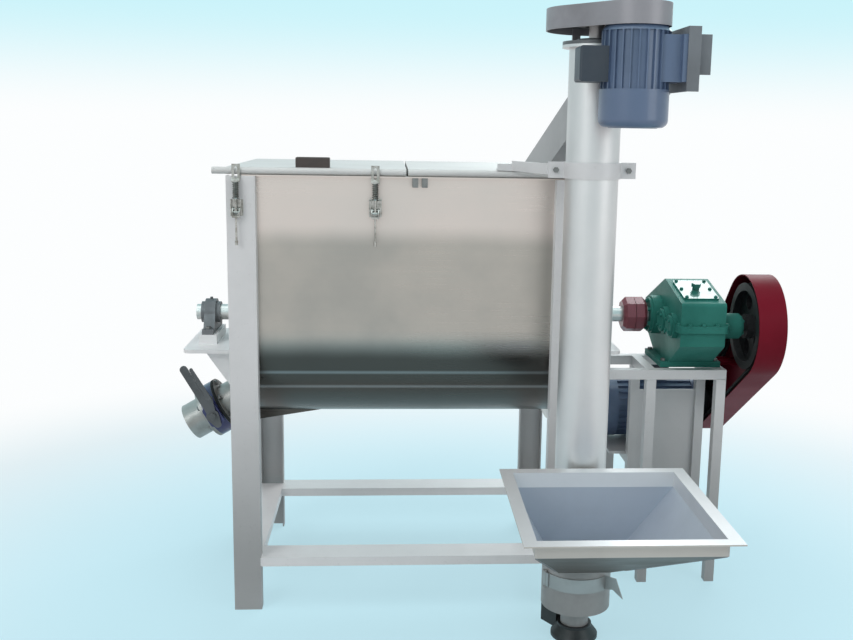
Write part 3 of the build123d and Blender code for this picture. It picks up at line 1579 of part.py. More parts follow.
head_far = (auger_motor_x - feeder_x, auger_motor_y - feeder_y)
auger_pulley_plane = Plane(origin=(feeder_x, feeder_y, auger_pulley_low), x_dir=(0, 0, 1), z_dir=(0, -1, 0))
auger_rotor_plane = Plane(
    origin=(auger_motor_x, auger_motor_y, auger_pulley_low), x_dir=(0, 0, 1), z_dir=(0, -1, 0)
)
with BuildPart() as auger_pulley:
    grooved_disc(auger_pulley_plane, auger_pulley_radius, auger_pulley_width, 2, screw_shaft_radius)
    with BuildSketch(feeder.offset(auger_pulley_low)):
        with PolarLocations(78, 4):
            Circle(24)
    extrude(amount=auger_pulley_width, mode=Mode.SUBTRACT)
finish(auger_pulley, "auger_pulley")

with BuildPart() as auger_motor_pulley:
    grooved_disc(auger_rotor_plane, auger_motor_pulley_radius, auger_pulley_width, 2, auger_shaft_radius - 1)
    with BuildSketch(auger_motor_plane.offset(auger_motor_face - auger_rotor_reach)):
        Circle(auger_shaft_radius)
    extrude(amount=auger_pulley_low + auger_pulley_width - auger_motor_face + auger_rotor_reach)
finish(auger_motor_pulley, "auger_motor_pulley")

first_auger_belt = auger_pulley_low + (auger_pulley_width - belt_pitch) / 2 - belt_width / 2
with BuildPart() as auger_belt:
    for index in range(2):
        loop_plane = feeder.offset(first_auger_belt + index * belt_pitch)
        belt_loop(loop_plane, belt_width, head_far, auger_pulley_radius, auger_motor_pulley_radius)
finish(auger_belt, "auger_belt")

strap_gauge = 5
strap_width = 26
strap_seat = tube_flange_radius - 18
strap_ring = top_guard_radius - guard_wall - strap_gauge
with BuildPart() as top_belt_guard:
    guard_pan(
        feeder.offset(top_guard_low), top_guard_high - top_guard_low, head_far,
        top_guard_radius, top_guard_small_radius, guard_wall,
    )
    for turn in (75, 105):
        spoke = Vector(1, 0, 0).rotate(Axis.Z, turn)
        strap = Plane(
            origin=(feeder_x, feeder_y, tube_top + bearing_flange),
            x_dir=spoke,
            z_dir=(0, 0, 1),
        )
        with BuildSketch(strap):
            with Locations(((strap_ring + strap_seat) / 2, 0)):
                Rectangle(strap_ring - strap_seat, strap_width)
        extrude(amount=strap_gauge)
        with BuildSketch(strap):
            with Locations((strap_ring + strap_gauge / 2, 0)):
                Rectangle(strap_gauge, strap_width)
        extrude(amount=top_guard_high - guard_wall - tube_top - bearing_flange)
finish(top_belt_guard, "top_belt_guard")

# Clamp round the tube in two halves, tied to the blender's fixed cover
clamp_outer = tube_radius + clamp_gauge
tie_x = feeder_x - tube_radius - clamp_ear
tie_low = cover_top
tie_y = feeder_y + clamp_gauge
with BuildPart() as tube_clamp:
    with BuildSketch(feeder.offset(clamp_low)):
        Circle(clamp_outer)
        Rectangle(2 * (tube_radius + clamp_ear), 2 * clamp_gauge)
        Circle(tube_radius, mode=Mode.SUBTRACT)
        Rectangle(4 * tube_radius, weld_gap, mode=Mode.SUBTRACT)
    extrude(amount=clamp_high - clamp_low)
    with BuildSketch(Plane.XZ.offset(-feeder_y)):
        with Locations((feeder_x, (clamp_low + clamp_high) / 2)):
            with GridLocations(2 * tube_radius + clamp_ear + 8, 0, 2, 1):
                Circle(6)
    extrude(amount=clamp_gauge, both=True, mode=Mode.SUBTRACT)
    with BuildSketch(Plane.XY.offset(tie_low)):
        with BuildLine():
            Polyline(
                (tie_x + clamp_ear / 2, tie_y),
                (tie_x - 6, tie_y),
                (tie_right - 70, front_edge + 4),
                (tie_right - 70 + clamp_gauge, front_edge + 4),
                (tie_x, tie_y + clamp_gauge),
                (tie_x + clamp_ear / 2, tie_y + clamp_gauge),
                close=True,
            )
        make_face()
    extrude(amount=clamp_high - tie_low - 6)
    with BuildSketch(Plane.XY.offset(tie_low)):
        with Locations(((tie_left + tie_right) / 2, front_edge + tie_foot / 2 + 3)):
            Rectangle(tie_right - tie_left, tie_foot)
    extrude(amount=clamp_gauge)
    with BuildSketch(Plane.XY.offset(tie_low)):
        with Locations(((tie_left + tie_right) / 2, front_edge + 3 + clamp_gauge / 2)):
            Rectangle(tie_right - tie_left, clamp_gauge)
    extrude(amount=22)
finish(tube_clamp, "tube_clamp")

# Fasteners, one group: hex bolts of feet, flanges and clamp, and two lugs of the fixed cover under the rim
bolt_radius = 9
bolt_height = 8
lug_x = 41
lug_step = 30
lug_width = 18
lug_depth = 36
lug_drop = 30


def bolt_heads(plane, spots):
    # Hex heads standing on a plane at the given spots.
    with BuildSketch(plane) as section:
        with Locations(*spots):
            RegularPolygon(bolt_radius, 6)
    extrude(section.sketch, amount=bolt_height)


gear_bolt_x = gear_width / 2 + 16
with BuildPart() as fasteners:
    bolt_heads(
        Plane.XY.offset(stand_top + gear_foot_gauge),
        [
            (gear_middle + side * gear_bolt_x, y)
            for side in (-1, 1)
            for y in (gear_foot_front + 20, gear_foot_rear - 20)
        ],
    )
    bolt_heads(
        Plane.XY.offset(shaft_height - pillow_centre_height + pillow_base_height),
        [
            (side * pillow_x, end * (pillow_base_length / 2 - 20))
            for side in (-1, 1)
            for end in (-1, 1)
        ],
    )
    for face, sign in ((half_valve + flange_gauge, 1), (-half_valve - flange_gauge, -1)):
        ring = discharge.offset(face)
        with BuildSketch(ring):
            with PolarLocations((flange_radius + pipe_radius) / 2, 6, start_angle=30):
                RegularPolygon(bolt_radius, 6)
        extrude(amount=sign * bolt_height)
    for side in (-1, 1):
        clamp_face = Plane.XZ.offset(-feeder_y + clamp_gauge)
        bolt_heads(
            clamp_face,
            [(feeder_x + side * (tube_radius + clamp_ear / 2 + 4), (clamp_low + clamp_high) / 2)],
        )
    with BuildSketch(Plane.XY.offset(leg_height)):
        with Locations((lug_x, -trough_outer - lug_depth / 2)):
            with GridLocations(lug_step, 0, 2, 1):
                Rectangle(lug_width, lug_depth)
    extrude(amount=-lug_drop)
finish(fasteners, "fasteners")

# The origin sits on the floor, under the middle of the whole machine's box.
boxes = [piece.part.bounding_box() for piece in pieces]
middle_x = (min(box.min.X for box in boxes) + max(box.max.X for box in boxes)) / 2
middle_y = (min(box.min.Y for box in boxes) + max(box.max.Y for box in boxes)) / 2
to_origin = Location((-middle_x, -middle_y, 0))
for piece in pieces:
    label = piece.part.label
    placed = piece.part.moved(to_origin)
    placed.label = label
    export_step(placed, f"parts/{label}.step")
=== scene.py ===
import math
import bpy
import numpy as np
from mathutils import Matrix, Vector


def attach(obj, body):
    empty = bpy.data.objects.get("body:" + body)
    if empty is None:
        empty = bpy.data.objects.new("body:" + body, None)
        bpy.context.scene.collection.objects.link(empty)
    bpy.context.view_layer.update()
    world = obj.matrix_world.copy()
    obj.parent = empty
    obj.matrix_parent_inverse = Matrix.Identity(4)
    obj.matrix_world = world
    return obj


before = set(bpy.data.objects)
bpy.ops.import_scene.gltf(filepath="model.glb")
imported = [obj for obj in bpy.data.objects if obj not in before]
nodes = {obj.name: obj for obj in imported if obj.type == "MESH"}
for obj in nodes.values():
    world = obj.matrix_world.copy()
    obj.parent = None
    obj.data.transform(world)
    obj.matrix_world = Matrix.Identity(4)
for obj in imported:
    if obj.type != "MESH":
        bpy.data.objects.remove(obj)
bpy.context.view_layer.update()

scene = bpy.context.scene
scene.view_settings.view_transform = "Standard"
print("frame loaded:", len(nodes), "nodes")


# Shader groups: each puts out masks and heights that change over the surface

def newGroup(name, inputs, outputs):
    # an empty shader group with float sockets, plus its input and output nodes
    tree = bpy.data.node_groups.new(name, "ShaderNodeTree")
    for socketName, value in inputs:
        socket = tree.interface.new_socket(socketName, in_out="INPUT", socket_type="NodeSocketFloat")
        socket.default_value = value
    for socketName in outputs:
        tree.interface.new_socket(socketName, in_out="OUTPUT", socket_type="NodeSocketFloat")
    return tree, tree.nodes.new("NodeGroupInput"), tree.nodes.new("NodeGroupOutput")


def addNode(tree, kind, **settings):
    # one shader node with its properties set
    node = tree.nodes.new(kind)
    for key, value in settings.items():
        setattr(node, key, value)
    return node


def mathNode(tree, operation, first, second, clamp=False):
    # first (operation) second, where each is a socket or a number
    node = addNode(tree, "ShaderNodeMath", operation=operation, use_clamp=clamp)
    for socket, value in zip(node.inputs, (first, second)):
        if isinstance(value, (int, float)):
            socket.default_value = value
        else:
            tree.links.new(value, socket)
    return node.outputs[0]


def noiseNode(tree, vector, scale, detail=3.0, roughness=0.55):
    # fractal noise on the given coordinates
    node = addNode(tree, "ShaderNodeTexNoise")
    node.inputs["Detail"].default_value = detail
    node.inputs["Roughness"].default_value = roughness
    tree.links.new(vector, node.inputs["Vector"])
    if isinstance(scale, (int, float)):
        node.inputs["Scale"].default_value = scale
    else:
        tree.links.new(scale, node.inputs["Scale"])
    return node.outputs["Fac"]


def rampNode(tree, value, low, high):
    # 0 below low, 1 above high, smooth between
    node = addNode(tree, "ShaderNodeMapRange", interpolation_type="SMOOTHSTEP")
    node.inputs["From Min"].default_value = low
    node.inputs["From Max"].default_value = high
    tree.links.new(value, node.inputs["Value"])
    return node.outputs["Result"]


# brushed grain: how far each way of brushing draws the noise out, and its two widths
brushMarks = {
    "alongX": (0.35, 22.0, 22.0),
    "alongZ": (22.0, 22.0, 0.35),
    "Grain": dict(scale=9.0, detail=4.0),
    "Streak": dict(scale=1.3, detail=2.0),
}


def buildBrushGroup(name, stretch):
    # noise drawn out by the stretch along one axis, at two widths of streak
    tree, groupIn, groupOut = newGroup(name, [("Scale", 1.0)], ["Grain", "Streak"])
    coords = addNode(tree, "ShaderNodeTexCoord")
    mapping = addNode(tree, "ShaderNodeMapping")
    mapping.inputs["Scale"].default_value = stretch
    tree.links.new(coords.outputs["Object"], mapping.inputs["Vector"])
    for output in ("Grain", "Streak"):
        mark = brushMarks[output]
        scale = mathNode(tree, "MULTIPLY", groupIn.outputs["Scale"], mark["scale"])
        noise = noiseNode(tree, mapping.outputs["Vector"], scale, mark["detail"])
        tree.links.new(noise, groupOut.inputs[output])
    return tree


# handling dirt: each noise's detail and roughness, and the levels where its marks begin and are full
soilMarks = {
    "cloudNoise": (5.0, 0.6), "cloudLevels": (0.38, 0.66),
    "speckNoise": (2.0, 0.7), "speckLevels": (0.62, 0.74), "speckScale": 28.0,
}


def buildSoilGroup():
    # broad clouds and finer specks of handling dirt
    tree, groupIn, groupOut = newGroup("handlingSoil", [("Scale", 3.0)], ["Cloud", "Speck"])
    coords = addNode(tree, "ShaderNodeTexCoord")
    speckScale = mathNode(tree, "MULTIPLY", groupIn.outputs["Scale"], soilMarks["speckScale"])
    cloud = noiseNode(tree, coords.outputs["Object"], groupIn.outputs["Scale"], *soilMarks["cloudNoise"])
    speck = noiseNode(tree, coords.outputs["Object"], speckScale, *soilMarks["speckNoise"])
    tree.links.new(rampNode(tree, cloud, *soilMarks["cloudLevels"]), groupOut.inputs["Cloud"])
    tree.links.new(rampNode(tree, speck, *soilMarks["speckLevels"]), groupOut.inputs["Speck"])
    return tree


# sprayed paint: fine orange peel, and the slow swells as a share of the peel's scale
paintPeel = {"peelNoise": (1.5, 0.4), "peelWeight": 0.35, "swellScale": 0.06, "swellDetail": 1.0}


def buildPaintGroup():
    # peel times its weight, plus the swell under it
    tree, groupIn, groupOut = newGroup("sprayPeel", [("Scale", 240.0)], ["Peel"])
    coords = addNode(tree, "ShaderNodeTexCoord")
    swellScale = mathNode(tree, "MULTIPLY", groupIn.outputs["Scale"], paintPeel["swellScale"])
    peel = noiseNode(tree, coords.outputs["Object"], groupIn.outputs["Scale"], *paintPeel["peelNoise"])
    swell = noiseNode(tree, coords.outputs["Object"], swellScale, paintPeel["swellDetail"])
    both = mathNode(tree, "ADD", mathNode(tree, "MULTIPLY", peel, paintPeel["peelWeight"]), swell)
    tree.links.new(both, groupOut.inputs["Peel"])
    return tree


# sand-cast skin: coarse grains, and fine ones as multiples of their scale and height
castGrains = {"coarseNoise": (4.0, 0.6), "fineScale": 3.1, "fineDetail": 2.0, "fineWeight": 0.5}


def buildCastGroup():
    # coarse grains plus weighted fine ones
    tree, groupIn, groupOut = newGroup("castSkin", [("Scale", 160.0)], ["Skin"])
    coords = addNode(tree, "ShaderNodeTexCoord")
    fineScale = mathNode(tree, "MULTIPLY", groupIn.outputs["Scale"], castGrains["fineScale"])
    coarse = noiseNode(tree, coords.outputs["Object"], groupIn.outputs["Scale"], *castGrains["coarseNoise"])
    fine = noiseNode(tree, coords.outputs["Object"], fineScale, castGrains["fineDetail"])
    both = mathNode(tree, "ADD", coarse, mathNode(tree, "MULTIPLY", fine, castGrains["fineWeight"]))
    tree.links.new(both, groupOut.inputs["Skin"])
    return tree


# worn edges: rounding in metres, how far the normal has to turn, and the noise that breaks the line up
edgeMarks = {"radius": 0.003, "samples": 4, "turn": (0.02, 0.22), "broken": (0.42, 0.62), "brokenDetail": 3.0}


def buildEdgeGroup():
    # where the rounded normal leaves the face normal, times broken noise
    tree, groupIn, groupOut = newGroup("edgeWear", [("Break", 90.0)], ["Edge"])
    bevel = addNode(tree, "ShaderNodeBevel", samples=edgeMarks["samples"])
    bevel.inputs["Radius"].default_value = edgeMarks["radius"]
    geometry = addNode(tree, "ShaderNodeNewGeometry")
    dot = addNode(tree, "ShaderNodeVectorMath", operation="DOT_PRODUCT")
    tree.links.new(bevel.outputs["Normal"], dot.inputs[0])
    tree.links.new(geometry.outputs["Normal"], dot.inputs[1])
    turned = rampNode(tree, mathNode(tree, "SUBTRACT", 1.0, dot.outputs["Value"]), *edgeMarks["turn"])
    coords = addNode(tree, "ShaderNodeTexCoord")
    noise = noiseNode(tree, coords.outputs["Object"], groupIn.outputs["Break"], edgeMarks["brokenDetail"])
    broken = rampNode(tree, noise, *edgeMarks["broken"])
    tree.links.new(mathNode(tree, "MULTIPLY", turned, broken), groupOut.inputs["Edge"])
    return tree


def lookingOut(tree, place, middle, soft):
    # 1 on faces that look away from a middle point, 0 on faces that look towards it
    fromMiddle = addNode(tree, "ShaderNodeVectorMath", operation="SUBTRACT")
    tree.links.new(place, fromMiddle.inputs[0])
    if isinstance(middle, tuple):
        fromMiddle.inputs[1].default_value = middle
    else:
        tree.links.new(middle, fromMiddle.inputs[1])
    geometry = addNode(tree, "ShaderNodeNewGeometry")
    outward = addNode(tree, "ShaderNodeVectorMath", operation="DOT_PRODUCT")
    tree.links.new(fromMiddle.outputs["Vector"], outward.inputs[0])
    tree.links.new(geometry.outputs["Normal"], outward.inputs[1])
    return rampNode(tree, outward.outputs["Value"], -soft, soft)


# heights in metres on the trough's wall, among them the two painted reflection lines, a point on the axis of
# its bend, and how the bands waver
wallBands = {
    "upper": (1.22, 1.30), "bend": (0.845, 0.935), "marks": (0.802, 0.746), "reflectionLineWidth": (0.001, 0.009),
    "axis": (0.0, 0.42, 0.947), "soft": 0.05,
    "waverStretch": (1.0, 1.0, 0.4), "waverNoise": (2.6, 2.0),
}


def buildBandGroup():
    # sheet bands by height: a lighter, warmer upper wall; a painted dark reflection on the outside of the
    # lower bend; two painted light reflection lines along it
    tree, groupIn, groupOut = newGroup("wallBands", [("Waver", 0.03)], ["Upper", "Low", "ReflectionLines"])
    coords = addNode(tree, "ShaderNodeTexCoord")
    split = addNode(tree, "ShaderNodeSeparateXYZ")
    tree.links.new(coords.outputs["Object"], split.inputs["Vector"])
    mapping = addNode(tree, "ShaderNodeMapping")
    mapping.inputs["Scale"].default_value = wallBands["waverStretch"]
    tree.links.new(coords.outputs["Object"], mapping.inputs["Vector"])
    noise = noiseNode(tree, mapping.outputs["Vector"], *wallBands["waverNoise"])
    waver = mathNode(tree, "SUBTRACT", noise, 0.5)
    height = mathNode(tree, "MULTIPLY_ADD", waver, groupIn.outputs["Waver"])
    tree.links.new(split.outputs["Z"], height.node.inputs[2])
    outside = lookingOut(tree, coords.outputs["Object"], wallBands["axis"], wallBands["soft"])
    # painted dark reflection: darker below the bend, on the outside faces only
    below = mathNode(tree, "SUBTRACT", 1.0, rampNode(tree, height, *wallBands["bend"]))
    low = mathNode(tree, "MULTIPLY", below, outside)
    # painted reflection lines: two thin lighter lines at fixed heights within the dark band
    mark = 0.0
    for level in wallBands["marks"]:
        away = mathNode(tree, "ABSOLUTE", mathNode(tree, "SUBTRACT", split.outputs["Z"], level), 0.0)
        line = mathNode(tree, "SUBTRACT", 1.0, rampNode(tree, away, *wallBands["reflectionLineWidth"]))
        mark = mathNode(tree, "MAXIMUM", mark, line)
    tree.links.new(rampNode(tree, height, *wallBands["upper"]), groupOut.inputs["Upper"])
    tree.links.new(low, groupOut.inputs["Low"])
    tree.links.new(mathNode(tree, "MULTIPLY", mark, low), groupOut.inputs["ReflectionLines"])
    return tree


def buildFadeGroup():
    # 1 below the low height, 0 above the high one, smooth between
    tree, groupIn, groupOut = newGroup("heightFade", [("Low", 0.2), ("High", 0.9)], ["Below"])
    coords = addNode(tree, "ShaderNodeTexCoord")
    split = addNode(tree, "ShaderNodeSeparateXYZ")
    tree.links.new(coords.outputs["Object"], split.inputs["Vector"])
    fade = addNode(tree, "ShaderNodeMapRange", interpolation_type="SMOOTHSTEP")
    tree.links.new(split.outputs["Z"], fade.inputs["Value"])
    tree.links.new(groupIn.outputs["Low"], fade.inputs["From Min"])
    tree.links.new(groupIn.outputs["High"], fade.inputs["From Max"])
    tree.links.new(mathNode(tree, "SUBTRACT", 1.0, fade.outputs["Result"]), groupOut.inputs["Below"])
    return tree


outerSoft = 0.02  # metres, over which the outside gives way to the inside


def buildOuterGroup():
    # 1 on faces that look away from the middle X, Y, Z, 0 on faces that look towards it
    tree, groupIn, groupOut = newGroup("outerSide", [("X", 0.0), ("Y", 0.0), ("Z", 0.0)], ["Outside"])
    coords = addNode(tree, "ShaderNodeTexCoord")
    middle = addNode(tree, "ShaderNodeCombineXYZ")
    for axis in "XYZ":
        tree.links.new(groupIn.outputs[axis], middle.inputs[axis])
    outside = lookingOut(tree, coords.outputs["Object"], middle.outputs["Vector"], outerSoft)
    tree.links.new(outside, groupOut.inputs["Outside"])
    return tree


shaderGroups = {
    "brushX": buildBrushGroup("brushAlongX", brushMarks["alongX"]),
    "brushZ": buildBrushGroup("brushAlongZ", brushMarks["alongZ"]),
    "soil": buildSoilGroup(),
    "paint": buildPaintGroup(),
    "cast": buildCastGroup(),
    "edge": buildEdgeGroup(),
    "bands": buildBandGroup(),
    "fade": buildFadeGroup(),
    "outer": buildOuterGroup(),
}
print("shader groups built:", len(shaderGroups))


def mixColour(tree, mask, base, other, blend="MIX"):
    # base where the mask is 0, other where it is 1; either may be a socket or a colour
    node = addNode(tree, "ShaderNodeMix", data_type="RGBA", blend_type=blend)
    tree.links.new(mask, node.inputs["Factor"])
    for socket, value in ((node.inputs[6], base), (node.inputs[7], other)):
        if isinstance(value, tuple):
            socket.default_value = (*value, 1.0)
        else:
            tree.links.new(value, socket)
    return node.outputs[2]


def placeGroup(tree, key, **values):
    # one of the shared groups with its own values
    node = addNode(tree, "ShaderNodeGroup", node_tree=shaderGroups[key])
    for name, value in values.items():
        node.inputs[name].default_value = value
    return node


# what a finish has where its own look says nothing
plainLook = dict(
    metal=0.0, coat=0.0, coatRough=0.15, specular=0.5, roughSwing=0.1, soilScale=3.0, cloud=0.5, speck=0.15,
    brushScale=1.0, streak=0.25, grainRough=0.12, bump=0.1, bumpDepth=0.001,
    worn=0.0, wornColour=(0.5, 0.5, 0.5),
)


def makeFinish(name, look):
    # a finish from its look: base colour, metal, roughness, soil, grain or peel, worn edges, painted
    # reflection bands and painted shade by place
    look = plainLook | look
    material = bpy.data.materials.new(name)
    material.use_nodes = True
    tree = material.node_tree
    shader = tree.nodes["Principled BSDF"]
    shader.inputs["Metallic"].default_value = look["metal"]
    shader.inputs["Coat Weight"].default_value = look["coat"]
    shader.inputs["Coat Roughness"].default_value = look["coatRough"]
    shader.inputs["Specular IOR Level"].default_value = look["specular"]
    soil = placeGroup(tree, "soil", Scale=look["soilScale"])
    weakCloud = mathNode(tree, "MULTIPLY", soil.outputs["Cloud"], look["cloud"])
    colour = mixColour(tree, weakCloud, look["colour"], look["second"])
    weakSpeck = mathNode(tree, "MULTIPLY", soil.outputs["Speck"], look["speck"])
    colour = mixColour(tree, weakSpeck, colour, look.get("speckColour", look["second"]))
    rough = mathNode(tree, "MULTIPLY_ADD", soil.outputs["Cloud"], look["roughSwing"])
    rough.node.inputs[2].default_value = look["rough"]
    height = None
    if "brush" in look:
        brush = placeGroup(tree, look["brush"], Scale=look["brushScale"])
        streak = mathNode(tree, "MULTIPLY", brush.outputs["Streak"], look["streak"])
        colour = mixColour(tree, streak, colour, look["second"])
        grainRough = mathNode(tree, "MULTIPLY", brush.outputs["Grain"], look["grainRough"])
        rough = mathNode(tree, "ADD", rough, grainRough)
        height = brush.outputs["Grain"]
    if "peel" in look:
        height = placeGroup(tree, "paint", Scale=look["peel"]).outputs["Peel"]
    if "cast" in look:
        height = placeGroup(tree, "cast", Scale=look["cast"]).outputs["Skin"]
    if look["worn"] > 0.0:
        edge = placeGroup(tree, "edge")
        wear = mathNode(tree, "MULTIPLY", edge.outputs["Edge"], look["worn"])
        colour = mixColour(tree, wear, colour, look["wornColour"])
    # bands by height, among them painted reflections
    if "bands" in look:
        bands = placeGroup(tree, "bands")
        for output, (strength, tint) in look["bands"].items():
            mask = mathNode(tree, "MULTIPLY", bands.outputs[output], strength)
            colour = mixColour(tree, mask, colour, tint)
    # painted shade: the colour is darkened below a height
    if "shade" in look:  # a tint below a height
        low, high, tint = look["shade"]
        below = placeGroup(tree, "fade", Low=low, High=high).outputs["Below"]
        colour = mixColour(tree, below, colour, tint, "MULTIPLY")
    # outside faces get a darker, warmer tint; below the painted shade's height they also get painted shadow
    # (the hopper's underside)
    if "outer" in look:  # with a shade: a tint for the outside, and one more for it below that height
        middle, tint, paintedUnderShadow = look["outer"]
        outside = placeGroup(tree, "outer", X=middle[0], Y=middle[1], Z=middle[2]).outputs["Outside"]
        colour = mixColour(tree, outside, colour, tint, "MULTIPLY")
        colour = mixColour(tree, mathNode(tree, "MULTIPLY", outside, below), colour, paintedUnderShadow, "MULTIPLY")
    tree.links.new(colour, shader.inputs["Base Color"])
    tree.links.new(rough, shader.inputs["Roughness"])
    if height is not None:
        bump = addNode(tree, "ShaderNodeBump")
        bump.inputs["Strength"].default_value = look["bump"]
        bump.inputs["Distance"].default_value = look["bumpDepth"]
        tree.links.new(height, bump.inputs["Height"])
        tree.links.new(bump.outputs["Normal"], shader.inputs["Normal"])
    return material


